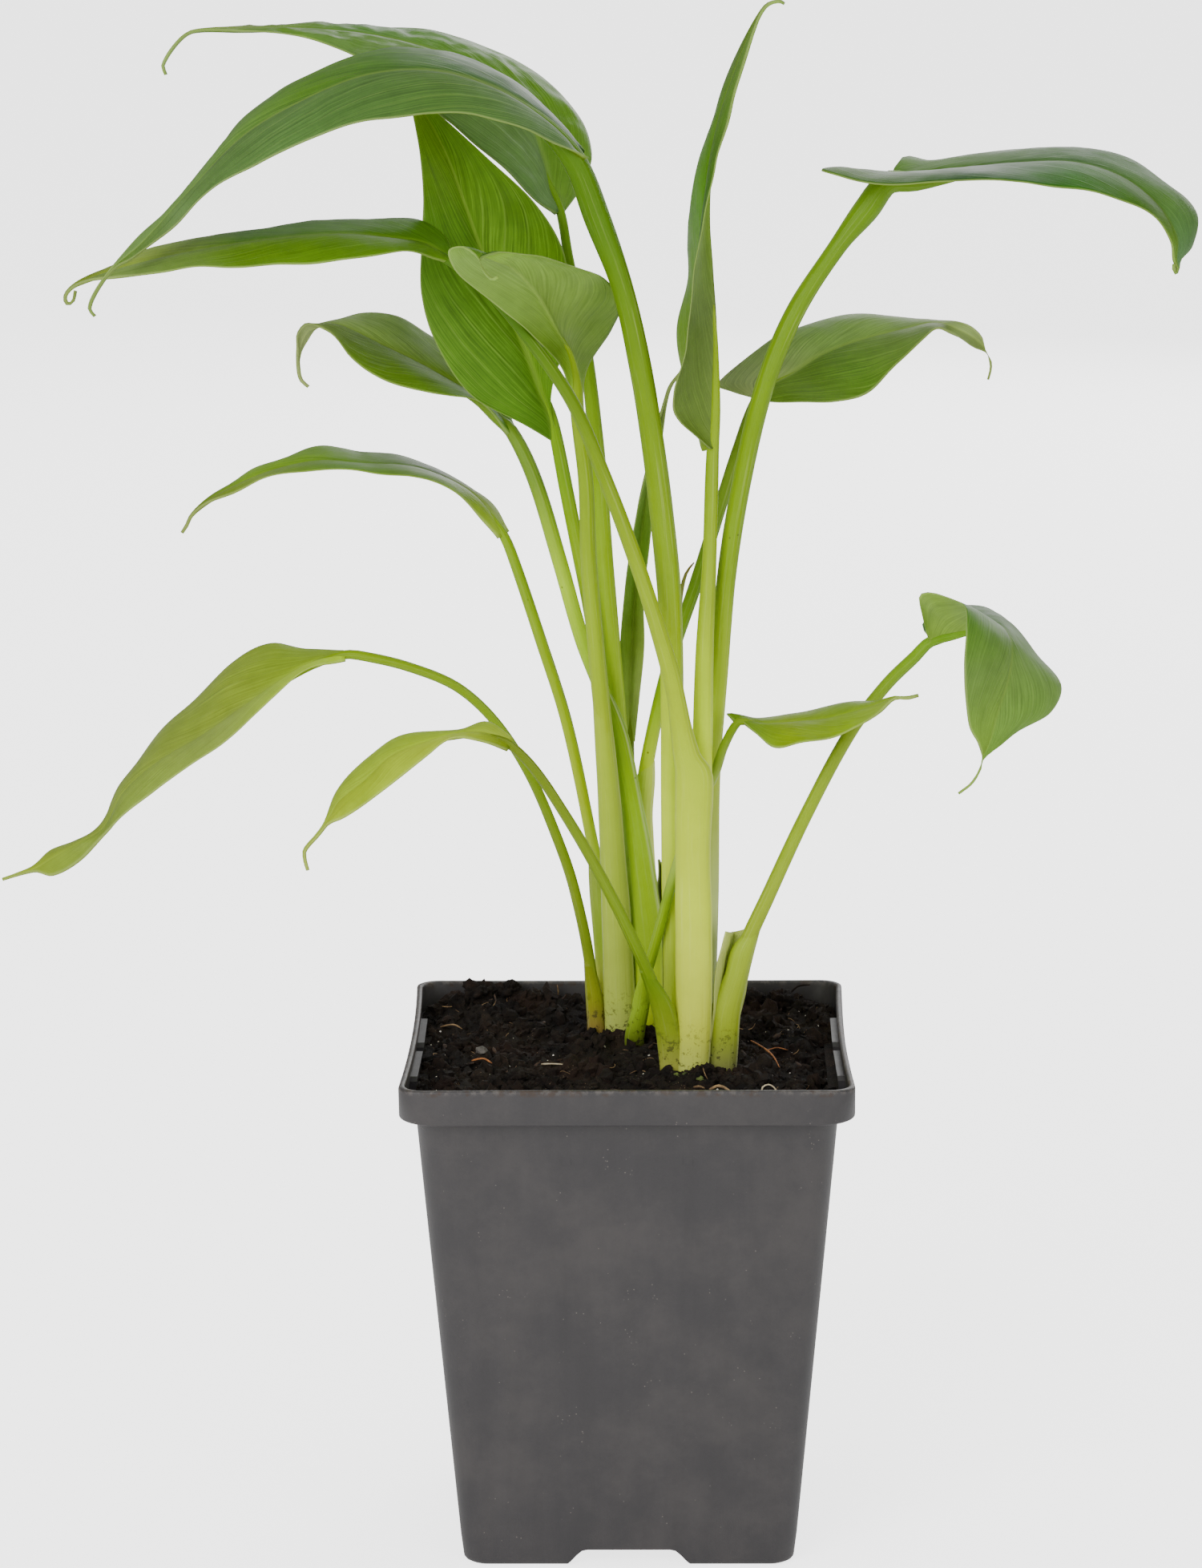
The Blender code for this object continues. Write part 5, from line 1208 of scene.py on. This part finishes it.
def pot_material(effects):
    """Moulded dark grey plastic: faint upright streaks, grain, dust and a worn lip, and painted light that
    makes the left side lighter than the right.
    """
    material, nodes, shader = new_material("pot_plastic", 0.5, Specular_IOR_Level=0.4)
    place = nodes.object_place()
    split = nodes.add("ShaderNodeSeparateXYZ", {"Vector": place})
    streak_at = nodes.stretched(place, (260, 260, 7))
    streaks = nodes.noise(streak_at, 1.0, 4, 0.6)
    broad = nodes.noise(nodes.stretched(place, (45, 45, 9)), 1.0, 3)
    shade = nodes.math("ADD", nodes.math("MULTIPLY", streaks, 0.34), nodes.math("MULTIPLY", broad, 0.10))
    color = nodes.scaled(linear(POT_GREY), nodes.math("ADD", shade, 0.76))
    grain = nodes.noise(place, 3200, 3, 0.7)
    color = nodes.scaled(color, nodes.math("MULTIPLY_ADD", grain, 0.30, 0.85))
    lip = nodes.ramp(split.outputs[2], POT_HEIGHT - 0.0012, POT_HEIGHT - 0.0002)
    scuff = nodes.math("MULTIPLY", lip, nodes.ramp(nodes.noise(place, 700, 4, 0.7), 0.42, 0.62))
    color = nodes.mix(nodes.math("MULTIPLY", scuff, 0.25), color, linear(POT_SCUFF))
    rough_lip = nodes.math("MULTIPLY", nodes.ramp(split.outputs[2], POT_HEIGHT - 0.0016, POT_HEIGHT - 0.0007),
                           nodes.ramp(nodes.noise(place, 260, 5, 0.7), 0.50, 0.60))
    color = nodes.mix(nodes.math("MULTIPLY", rough_lip, 0.8), color, linear(LIP_RESIDUE))
    # Painted light and shade: the pot's colour is lighter on the left side and darker on the right.
    painted_light_from_left = nodes.ramp(split.outputs[0], -0.045, 0.045, 1.08, 0.94)
    color = nodes.scaled(color, painted_light_from_left)
    inside = nodes.ramp(split.outputs[2], 0.094, 0.100, 0.45, 0.15)
    dusty = placed(nodes, effects["dust"], Color=color, Dust=linear(POT_DUST), Film=0.10,
                   Specks=inside, Scale=1100.0)
    nodes.feed(shader.inputs["Base Color"], dusty["Color"])
    nodes.feed(shader.inputs["Roughness"], nodes.ramp(
        nodes.math("ADD", dusty["Mask"], nodes.math("MULTIPLY", streaks, 0.5)), 0.1, 0.8, 0.44, 0.62))
    height = nodes.math("ADD", nodes.math("MULTIPLY", streaks, 1.1), nodes.math("MULTIPLY", grain, 0.28))
    bumped(nodes, shader, height, 0.35, 0.00018)
    return material


def soil_material(name, dark, light, effects):
    """Peat: near-black crumbs with browner flecks and pale grit."""
    material, nodes, shader = new_material(name, 0.92, Specular_IOR_Level=0.25)
    place = nodes.object_place()
    blend = nodes.ramp(nodes.noise(place, 520, 5, 0.7), 0.40, 0.72)
    color = nodes.mix(blend, linear(dark), linear(light))
    warm = nodes.ramp(nodes.noise(place, 95, 3), 0.50, 0.66)
    color = nodes.mix(nodes.math("MULTIPLY", warm, 0.45), color, linear(WARM_PEAT))
    dusty = placed(nodes, effects["dust"], Color=color, Dust=linear(SOIL_DUST), Film=0.06,
                   Specks=0.5, Scale=1500.0)
    nodes.feed(shader.inputs["Base Color"], dusty["Color"])
    bumped(nodes, shader, nodes.noise(place, 1300, 5, 0.75), 1.0, 0.0007)
    return material


def dry_material(name, dark, light, effects, scale=700.0, roughness=0.75):
    """Dead plant stuff: dry, streaked and rough."""
    material, nodes, shader = new_material(name, roughness)
    place = nodes.object_place()
    blend = nodes.ramp(nodes.noise(place, scale, 4, 0.65), 0.35, 0.65)
    color = nodes.mix(blend, linear(dark), linear(light))
    skin = placed(nodes, effects["leaf_skin"], Color=color, Mottle=0.4, Scale=900.0)
    nodes.feed(shader.inputs["Base Color"], skin["Color"])
    bumped(nodes, shader, skin["Height"], 0.6, 0.0002)
    return material


def plain_copy(obj):
    """The object's mesh with its modifiers applied, as a new plain mesh on the same object."""
    depsgraph = bpy.context.evaluated_depsgraph_get()
    mesh = bpy.data.meshes.new_from_object(obj.evaluated_get(depsgraph))
    obj.modifiers.clear()
    obj.data = mesh


def removed(obj):
    bpy.data.objects.remove(obj, do_unlink=True)


def finish_piece(obj, material, slot, *nodes):
    obj.data.materials.clear()
    obj.data.materials.append(material)
    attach(obj, "root")
    if nodes:
        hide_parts(*nodes)


def arc(centre, radius, start, end, steps):
    return [(centre[0] + radius * math.cos(math.radians(start + (end - start) * i / steps)),
             centre[1] + radius * math.sin(math.radians(start + (end - start) * i / steps)))
            for i in range(steps + 1)]


def body_half(height):
    return BASE_HALF + (BODY_HALF - BASE_HALF) * height / BAND_LEVEL


def pot_profile():
    """(half width, height) from the middle of the floor's underside, up outside, down inside."""
    foot, lip, fillet = 0.0015, 0.0005, 0.0009
    outside = [(BASE_HALF - foot, 0.0)]
    outside += arc((BASE_HALF - foot, foot), foot, -90, 0, 4)[1:]
    outside += [(body_half(h), h) for h in np.linspace(0.006, BAND_LEVEL - fillet, 10)]
    outside += [(BODY_HALF + 0.0002, BAND_LEVEL - 0.0002), (BODY_HALF + fillet, BAND_LEVEL)]
    outside += [(RIM_HALF - 0.0008, BAND_LEVEL)]
    outside += arc((RIM_HALF - 0.0006, BAND_LEVEL + 0.0006), 0.0006, -80, 0, 3)
    outside += arc((RIM_HALF - lip, POT_HEIGHT - lip), lip, 0, 90, 4)
    inner = RIM_HALF - POT_WALL
    inside = arc((inner + lip, POT_HEIGHT - lip), lip, 90, 180, 4)
    inside += [(inner, LEDGE_LEVEL + 0.0006), (inner - 0.0004, LEDGE_LEVEL + 0.0001),
               (BODY_HALF - POT_WALL + 0.0006, LEDGE_LEVEL),
               (BODY_HALF - POT_WALL, LEDGE_LEVEL - 0.0008)]
    inside += [(body_half(h) - POT_WALL, h) for h in np.linspace(0.085, 0.006, 8)]
    inside += arc((body_half(0.0) - POT_WALL - 0.002, POT_WALL + 0.002), 0.002, 0, -90, 4)
    return outside + inside


def prism(name, outline, low, high):
    """A solid between two X planes from an outline of (y, z) points."""
    return lofted(name, [[(x, y, z) for y, z in outline] for x in (low, high)])


def recess_outline(grow):
    half_low, half_top = RECESS_WIDTH / 2 + grow, RECESS_TOP_WIDTH / 2 + grow
    top = RECESS_HEIGHT + grow
    soft = 0.0012
    points = [(half_low, -0.002), (half_low, 0.0), (half_top + soft * 0.8, top - soft)]
    points += [(half_top - soft * 0.1, top - soft * 0.2), (half_top - soft, top)]
    return points + [(-y, z) for y, z in reversed(points)]


def corner_radius(half, height):
    """The corners tighten up the rim to its lip."""
    lip = smoothstep(BAND_LEVEL + 0.001, POT_HEIGHT - 0.0015, height)
    return (CORNER_RADIUS - (RIM_HALF - half) * 0.3) * (1 - lip) + LIP_CORNER * lip


def bowed(points):
    """Points of the rim or the soil, with the rim's sides drawn in a little between its corners."""
    high = smoothstep(BAND_LEVEL - 0.002, POT_HEIGHT, points[:, 2])
    for near, far, bow in ((0, 1, RIM_BOW), (1, 0, RIM_BOW * 0.35)):
        middle = np.clip(1 - (points[:, far] / RIM_HALF) ** 2, 0, 1)
        wall = smoothstep(0.6, 0.97, np.abs(points[:, near]) / RIM_HALF)
        points[:, near] -= np.sign(points[:, near]) * bow * middle * wall * high
    return points


def make_pot(material):
    rings = [rounded_square(half, corner_radius(half, height), height, RIM_STEPS)
             for half, height in pot_profile()]
    pot = lofted("pot_shell", rings)
    cutters = []

    def apply_side(cutter, operation, sides=(0, 1, 2, 3)):
        for side in sides:
            copy = cutter.copy()
            copy.data = cutter.data.copy()
            bpy.context.scene.collection.objects.link(copy)
            copy.data.transform(Matrix.Rotation(side * math.pi / 2, 4, "Z"))
            modifier = pot.modifiers.new(cutter.name, "BOOLEAN")
            modifier.operation = operation
            modifier.solver = "EXACT"
            modifier.object = copy
            cutters.append(copy)
        cutters.append(cutter)

    apply_side(prism("recess_roof", [(y, max(z, 0.0005)) for y, z in recess_outline(POT_WALL)],
                     BASE_HALF - RECESS_DEPTH - POT_WALL, BASE_HALF - POT_WALL / 2), "UNION")
    for side in (-1, 1):
        middle = side * LUG_SPACING / 2
        low, high = LEDGE_LEVEL - LUG_LENGTH, LEDGE_LEVEL - LUG_DROP
        outline = [(middle - LUG_WIDTH / 2, low), (middle + LUG_WIDTH / 2, low),
                   (middle + LUG_WIDTH / 2, high), (middle - LUG_WIDTH / 2, high)]
        apply_side(prism("lug_%d" % (side + 1), outline, BODY_HALF - POT_WALL - LUG_PROUD,
                         BODY_HALF - POT_WALL / 2), "UNION")
    for side in (-1, 1):
        near, far = sorted((side * LEDGE_RIB_START, side * LEDGE_RIB_END))
        foot, shoulder = LEDGE_LEVEL - 0.0005, LEDGE_RIB_TOP - 0.0008
        outline = [(near, foot), (far, foot), (far, shoulder), (far - LEDGE_RIB_BEVEL, LEDGE_RIB_TOP),
                   (near + LEDGE_RIB_BEVEL, LEDGE_RIB_TOP), (near, shoulder)]
        apply_side(prism("ledge_rib_%d" % (side + 1), outline, RIM_HALF - POT_WALL - LEDGE_RIB_INSET,
                         RIM_HALF - POT_WALL / 2), "UNION", (0, 2))
    apply_side(prism("recess", recess_outline(0), BASE_HALF - RECESS_DEPTH,
                     BASE_HALF + 0.01), "DIFFERENCE")
    drain = [[(BASE_HALF - RECESS_DEPTH / 2 + DRAIN_RADIUS * math.cos(a), DRAIN_RADIUS * math.sin(a), z)
              for a in even_angles(24)]
             for z in (0.0, 0.009)]
    apply_side(lofted("drain", drain), "DIFFERENCE")
    bpy.context.view_layer.update()
    plain_copy(pot)
    for cutter in cutters:
        removed(cutter)
    places = np.array([vert.co for vert in pot.data.vertices])
    pot.data.vertices.foreach_set("co", bowed(places).ravel())
    pot.data.shade_smooth()
    pot.data.set_sharp_from_angle(angle=math.radians(32))
    finish_piece(pot, material, "pot_plastic", "pot")


def soil_rings():
    """Rings of the soil's surface from the pot's wall to the middle."""
    wall = RIM_HALF - SOIL_INSIDE
    corner = CORNER_RADIUS - POT_WALL
    shares = 1 - np.linspace(0, 1, SOIL_RINGS + 1)[:-1] * 0.985
    return np.array([rounded_square(wall * share, corner * share, 0, SOIL_STEPS) for share in shares])


def make_soil(material):
    """The potting mix: a lumpy surface on a body that fills the pot."""
    rings = soil_rings()
    flat = rings.reshape(-1, 3)
    edge = np.maximum(np.abs(flat[:, 0]), np.abs(flat[:, 1]))
    lumps = (wander(flat, 130, 1) * 0.0017 + np.abs(wander(flat, 330, 2)) * 0.0026 - 0.0009
             + wander(flat, 900, 3) * 0.0006)
    hollow = smoothstep(0.036, 0.0435, edge) * 0.0012 * (0.6 + wander(flat, 60, 5))
    gap_right = np.exp(-((flat[:, 0] - 0.038) ** 2 + (flat[:, 1] + 0.002) ** 2) / 0.000045)
    hollow = hollow + 0.0016 * gap_right
    for i, (x, y, z) in enumerate(flat):
        flat[i, 2] = soil_height(x, y) + lumps[i] - hollow[i] - 0.0002
    top = bowed(flat).reshape(rings.shape)
    gap = SOIL_INSIDE
    below = [rounded_square(half, CORNER_RADIUS - gap, height, SOIL_STEPS) for half, height in
             ((body_half(0.0018) - gap - 0.001, 0.0050), (body_half(0.006) - gap, 0.0062),
              (BODY_HALF - gap, LEDGE_LEVEL - 0.0006), (BODY_HALF - gap, LEDGE_LEVEL + 0.0004),
              (RIM_HALF - gap, LEDGE_LEVEL + 0.0005))]
    soil = lofted("soil_body", np.concatenate([np.array(below), top]))
    finish_piece(soil, material, "potting_mix", "soil")
    return top


def open_surface(rings):
    """The soil's surface inside the outermost of the given rings, as an open sheet to strew on."""
    surface = lofted("soil_top", rings)
    cap = len(surface.data.vertices) - 2
    build = bmesh.new()
    build.from_mesh(surface.data)
    build.verts.ensure_lookup_table()
    bmesh.ops.delete(build, geom=[build.verts[cap]], context="VERTS")
    build.to_mesh(surface.data)
    build.free()
    return surface


def crumb_set(name, count, size, rounder, rough, stretch=(1, 1, 1)):
    """A collection of small lumpy solids, to be strewn; the rounder ones have more faces."""
    collection = bpy.data.collections.new(name)
    for i in range(count):
        mesh = bpy.data.meshes.new("%s_%d" % (name, i))
        build = bmesh.new()
        if rounder:
            bmesh.ops.create_uvsphere(build, u_segments=7, v_segments=5, radius=size)
        else:
            bmesh.ops.create_icosphere(build, subdivisions=1, radius=size)
        for vert in build.verts:
            bump = noise.noise(Vector(vert.co) / size * 1.3 + Vector((i * 9.1, 3.3, i * 2.7)))
            vert.co *= 1 + rough * bump
            vert.co = Vector(vert.co[k] * stretch[k] for k in range(3))
        build.to_mesh(mesh)
        build.free()
        collection.objects.link(bpy.data.objects.new("%s_%d" % (name, i), mesh))
    return collection


def straw_set(name, count, length, radius, curl):
    """A collection of thin bent strands, to be strewn."""
    collection = bpy.data.collections.new(name)
    for i in range(count):
        t = np.linspace(0, 1, 9)
        bend = curl * (1 + i * 0.35)
        route = np.stack([np.sin(t * bend) / bend * length, (1 - np.cos(t * bend)) / bend * length,
                          0.0006 * np.sin(t * 5 + i) * length / 0.006], axis=1)
        route -= route.mean(axis=0)
        strand = lofted("%s_%d" % (name, i), tube(route, radius * (1 - 0.7 * np.abs(t - 0.4)), 5))
        bpy.context.scene.collection.objects.unlink(strand)
        collection.objects.link(strand)
    return collection


def strewing_tree():
    """Strews a collection's solids over a surface: how many, how large, how tilted."""
    tree = bpy.data.node_groups.new("strewing", "GeometryNodeTree")
    for label, kind, value in (("Surface", "NodeSocketGeometry", None),
                               ("Amount", "NodeSocketFloat", 10000.0),
                               ("Smallest", "NodeSocketFloat", 0.6), ("Largest", "NodeSocketFloat", 1.5),
                               ("Tilt", "NodeSocketFloat", 3.1), ("Seed", "NodeSocketInt", 1),
                               ("Solids", "NodeSocketCollection", None),
                               ("Finish", "NodeSocketMaterial", None)):
        socket = tree.interface.new_socket(name=label, in_out="INPUT", socket_type=kind)
        if value is not None:
            socket.default_value = value
    tree.interface.new_socket(name="Strewn", in_out="OUTPUT", socket_type="NodeSocketGeometry")
    nodes = Nodes(tree)
    source = nodes.add("NodeGroupInput").outputs
    sink = nodes.add("NodeGroupOutput").inputs
    points = nodes.add("GeometryNodeDistributePointsOnFaces", {
        "Mesh": source["Surface"], "Density": source["Amount"], "Seed": source["Seed"]})
    solids = nodes.add("GeometryNodeCollectionInfo", {"Collection": source["Solids"],
                                                      "Separate Children": True, "Reset Children": True})
    back = nodes.math("MULTIPLY", source["Tilt"], -1.0)
    low = nodes.add("ShaderNodeCombineXYZ", {"X": back, "Y": back, "Z": 0.0})
    high = nodes.add("ShaderNodeCombineXYZ", {"X": source["Tilt"], "Y": source["Tilt"], "Z": 6.283})
    turn = nodes.add("FunctionNodeRandomValue", data_type="FLOAT_VECTOR")
    nodes.feed(turn.inputs[0], low.outputs[0])
    nodes.feed(turn.inputs[1], high.outputs[0])
    nodes.feed(turn.inputs["Seed"], source["Seed"])
    size = nodes.add("FunctionNodeRandomValue", data_type="FLOAT")
    nodes.feed(size.inputs[2], source["Smallest"])
    nodes.feed(size.inputs[3], source["Largest"])
    nodes.feed(size.inputs["Seed"], source["Seed"])
    placed_solids = nodes.add("GeometryNodeInstanceOnPoints", {
        "Points": points.outputs["Points"], "Instance": solids.outputs[0], "Pick Instance": True,
        "Rotation": turn.outputs[0], "Scale": size.outputs[1]})
    real = nodes.add("GeometryNodeRealizeInstances", {"Geometry": placed_solids.outputs[0]})
    finished = nodes.add("GeometryNodeSetMaterial", {"Geometry": real.outputs[0],
                                                     "Material": source["Finish"]})
    nodes.feed(sink["Strewn"], finished.outputs[0])
    return tree


def strewn(name, surface, tree, solids, material, slot, **sizes):
    """A new piece: one collection's solids strewn over a surface."""
    obj = surface.copy()
    obj.data = surface.data.copy()
    obj.name = name
    bpy.context.scene.collection.objects.link(obj)
    modifier = obj.modifiers.new("strewing", "NODES")
    modifier.node_group = tree
    values = dict(sizes, Solids=solids, Finish=material)
    for item in tree.interface.items_tree:
        if item.in_out == "INPUT" and item.name in values:
            modifier[item.identifier] = values[item.name]
    obj.update_tag()
    bpy.context.view_layer.update()
    plain_copy(obj)
    obj.data.name = name
    finish_piece(obj, material, slot)


def make_ground_cover(top, materials):
    """Crumbs, bark, grit and strands that lie on the soil."""
    tree = strewing_tree()
    # Each set's name, how many rings in from the wall it starts, its solids, finish and amounts.
    sets = [
        ("soil_lumps", 3, crumb_set("lump", 6, 0.0012, True, 0.9, (1.2, 1.0, 0.8)), "peat_crumb",
         dict(Amount=52000.0, Smallest=0.4, Largest=1.7, Tilt=3.1, Seed=11)),
        ("soil_crumbs", 1, crumb_set("crumb", 5, 0.0005, False, 0.9), "peat_crumb",
         dict(Amount=300000.0, Smallest=0.4, Largest=1.8, Tilt=3.1, Seed=12)),
        ("bark_bits", 3, crumb_set("bark", 4, 0.0010, False, 0.6, (1.7, 0.6, 0.35)), "bark",
         dict(Amount=8000.0, Smallest=0.4, Largest=1.3, Tilt=0.9, Seed=13)),
        ("pale_grit", 2, crumb_set("grit", 3, 0.00020, False, 0.5), "grit",
         dict(Amount=16000.0, Smallest=0.5, Largest=1.5, Tilt=3.1, Seed=14)),
        ("dry_strands", 5, straw_set("strand", 4, 0.0048, 0.00010, 1.7), "strand",
         dict(Amount=13000.0, Smallest=0.4, Largest=1.2, Tilt=0.6, Seed=15)),
    ]
    for name, inset, solids, finish, sizes in sets:
        surface = open_surface(top[inset:])
        strewn(name, surface, tree, solids, materials[finish], "potting_mix", **sizes)
        removed(surface)
        for obj in list(solids.objects):
            removed(obj)
        bpy.data.collections.remove(solids)


def make_clods(name, places, material, rough=0.6):
    """Lumps of soil or stone set one by one: (x, y, height, radius, flatness) in millimetres."""
    build = bmesh.new()
    for i, (x, y, height, radius, flat) in enumerate(places):
        made = bmesh.ops.create_icosphere(build, subdivisions=4, radius=1.0)["verts"]
        shift = Vector((i * 5.1, i * 2.3, 1.7))
        for vert in made:
            bump = sum(noise.noise(vert.co * step + shift) / size
                       for step, size in ((1.2, 1), (3.6, 1.8), (9.0, 3.2)))
            grow = radius * MM * (1 + rough * bump)
            vert.co = Vector((x * MM + vert.co.x * grow, y * MM + vert.co.y * grow,
                              SOIL_LINE + height * MM + vert.co.z * grow * flat))
    mesh = bpy.data.meshes.new(name)
    build.to_mesh(mesh)
    build.free()
    mesh.shade_smooth()
    obj = bpy.data.objects.new(name, mesh)
    bpy.context.scene.collection.objects.link(obj)
    finish_piece(obj, material, "potting_mix")


def make_strand(name, points, radius, material):
    """A root or straw through listed points in millimetres above the soil line."""
    knots = to_world(points)
    stations = stations_of(knots)
    samples = np.linspace(0, stations[-1], max(int(stations[-1] / STRAND_STEP), 8))
    route = smooth(knots, stations, samples)
    size = radius * MM * (1 + 0.3 * wander(route, 500, 4)) * np.interp(
        samples / stations[-1], [0, 0.1, 0.8, 1], [0.7, 1, 0.8, 0.3])
    finish_piece(lofted(name, tube(route, size, 8)), material, "potting_mix")


def make_rhizome(name, crown, material):
    """A squat tuber below the soil, ringed where old leaves grew."""
    rings = []
    for angle in np.linspace(-86, 90, 30):
        height = math.sin(math.radians(angle))
        crown_half = 0 if angle < 0 else CROWN_RADIUS
        reach = crown_half + (RHIZOME_RADIUS - crown_half) * math.cos(math.radians(angle))
        level = CROWN_TOP - 0.0066 + 0.0065 * height
        ring = []
        for around in even_angles(48):
            point = Vector((math.cos(around), math.sin(around), height * 0.6))
            swell = 1 + 0.06 * noise.noise(point * 1.8) - 0.05 + 0.015 * math.sin(angle * 0.5)
            ring.append((crown[0] + reach * swell * math.cos(around),
                         crown[1] + reach * swell * math.sin(around), level))
        rings.append(ring)
    finish_piece(lofted("rhizome_%s_skin" % name, rings, flat_angle=50), material, "rhizome",
                 "rhizome_" + name)


def make_leaves(blade, stalk):
    for seed, (name, leaf) in enumerate(LEAVES.items()):
        look = LOOKS[name]
        sheet = make_blade(name + "_blade_sheet", leaf, look, seed)
        finish_piece(sheet, blade, "leaf_blade", "leaf_%s_blade" % name)
        route, radii = stalk_route(leaf, look.get("flare", 1.0))
        rod = make_stalk(name + "_stalk_rod", route, radii, look["stalk"], seed)
        finish_piece(rod, stalk, "leaf_stalk", "leaf_%s_stalk" % name)


def make_sheaths(stalk):
    for seed, (name, rows) in enumerate(SHEATHS.items()):
        wrap = make_sheath(name, rows, SHEATH_LOOKS[name], SHEATH_EDGES[name], seed)
        finish_piece(wrap, stalk, "sheath")


def make_spear(stalk):
    knots = to_world([point[:3] for point in SPEAR])
    stations = stations_of(knots)
    samples = np.linspace(0, stations[-1], 80)
    route = smooth(knots, stations, samples)
    radii = smooth([point[3] * MM for point in SPEAR], stations, samples)[:, 0]
    colors = [(0, (196, 202, 120)), (37, (150, 168, 50)), (90, (138, 154, 30)), (99, (150, 150, 90)),
              (103, (120, 92, 60))]
    finish_piece(make_stalk("spear_rod", route, radii, colors, 3), stalk, "leaf_stalk", "young_spear")


def make_scraps(blade):
    sheath_look = {"upper": [(0, (222, 226, 168)), (1, (214, 222, 160))],
                   "lower": [(0, (222, 226, 168)), (1, (208, 216, 150))],
                   "vein": 0.25, "wave": 1.5}
    leaf = {"stalk": [(0, 0, 0, 0.3)], "blade": TORN_SHEATH, "tail": []}
    finish_piece(make_blade("torn_sheath_skin", leaf, sheath_look, 31), blade, "sheath", "torn_sheath")
    bract_look = {"upper": [(0, (60, 66, 26)), (1, (78, 92, 30))],
                  "lower": [(0, (52, 56, 24)), (1, (70, 84, 28))],
                  "vein": 0.1, "pucker": 0.8}
    leaf = {"stalk": [(0, 0, 0, 0.2)], "blade": DRY_BRACT, "tail": DRY_BRACT_TAIL}
    finish_piece(make_blade("dry_bract_skin", leaf, bract_look, 32), blade, "dry_leaf", "dry_bract")


def make_stage():
    """A wide pale floor and soft studio lights."""
    around = [(STAGE_REACH * math.cos(a), STAGE_REACH * math.sin(a), 0.0)
              for a in even_angles(48)]
    floor = mesh_object("studio_floor", around, [tuple(range(48))])
    material, nodes, shader = new_material("studio_white", 0.9)
    shader.inputs["Base Color"].default_value = (0.93, 0.93, 0.93, 1)
    shader.inputs["Emission Color"].default_value = (1, 1, 1, 1)
    seen = nodes.add("ShaderNodeLightPath").outputs["Is Camera Ray"]
    nodes.feed(shader.inputs["Emission Strength"], nodes.ramp(seen, 0, 1, 0.35, 2.6))
    floor.data.materials.append(material)
    world = bpy.data.worlds.new("soft_world")
    bpy.context.scene.world = world
    world.use_nodes = True
    sky = Nodes(world.node_tree)
    background = world.node_tree.nodes["Background"]
    background.inputs["Color"].default_value = (1, 1, 1, 1)
    seen = sky.add("ShaderNodeLightPath").outputs["Is Camera Ray"]
    sky.feed(background.inputs["Strength"], sky.ramp(seen, 0, 1, 0.45, 3.2))
    for name, (place, size, energy) in LIGHTS.items():
        data = bpy.data.lights.new(name, "AREA")
        data.size = size
        data.energy = energy
        light = bpy.data.objects.new(name, data)
        light.location = place
        towards = Vector(LIGHT_TARGET) - Vector(place)
        light.rotation_euler = towards.to_track_quat("-Z", "Y").to_euler()
        bpy.context.scene.collection.objects.link(light)


def make_camera():
    data = bpy.data.cameras.new("camera")
    data.sensor_width = CAMERA_SENSOR
    data.lens = CAMERA_LENS
    camera = bpy.data.objects.new("camera", data)
    bpy.context.scene.collection.objects.link(camera)
    matrix = Matrix((CAMERA_RIGHT, CAMERA_UP, CAMERA_BACK)).transposed().to_4x4()
    matrix.translation = Vector(CAMERA_PLACE)
    camera.matrix_world = matrix
    bpy.context.scene.camera = camera


def main():
    make_camera()
    make_stage()
    effects = {"dust": dust_effect(), "leaf_skin": leaf_skin_effect(), "fibres": fibre_effect()}
    blade = blade_material(effects)
    stalk = stalk_material(effects)
    materials = {
        "peat": soil_material("peat", (9, 6, 5), (27, 18, 13), effects),
        "peat_crumb": soil_material("peat_crumbs", (9, 6, 5), (35, 24, 18), effects),
        "bark": dry_material("bark_bits", (34, 23, 16), (70, 49, 34), effects),
        "grit": dry_material("pale_grit", (190, 180, 165), (232, 226, 214), effects),
        "strand": dry_material("dry_strands", (96, 72, 46), (158, 128, 88), effects),
        "root": dry_material("root_skin", (120, 70, 30), (176, 112, 60), effects),
        "tuber": dry_material("rhizome_skin", (110, 82, 54), (150, 116, 80), effects, 300.0),
        "stone": dry_material("stone", (58, 54, 50), (92, 87, 81), effects, 500.0, 0.8),
        "green_scrap": dry_material("green_scrap", (52, 64, 22), (96, 108, 44), effects, 800.0),
        "pale_root": dry_material("pale_root", (168, 150, 118), (206, 192, 160), effects, 500.0),
    }
    make_pot(pot_material(effects))
    make_ground_cover(make_soil(materials["peat"]), materials)
    for name, crown in CROWNS.items():
        make_rhizome(name, crown, materials["tuber"])
    make_leaves(blade, stalk)
    make_spear(stalk)
    make_sheaths(stalk)
    make_scraps(blade)
    for name, points, radius, finish in STRANDS:
        make_strand(name, points, radius, materials[finish])
    make_clods("dark_clods", CLODS, materials["peat_crumb"])
    make_clods("grey_pebble", [(-29.9, 0.6, 1.2, 1.2, 0.7)], materials["stone"], 0.25)
    make_clods("green_crumbs", [(9.8, -18, 0.9, 0.6, 0.8), (11.4, -17.2, 1.0, 0.45, 0.8),
                                (14.6, -20.4, 0.9, 0.7, 0.7), (13.2, -18.8, 0.8, 0.4, 0.9)],
               materials["green_scrap"])


main()
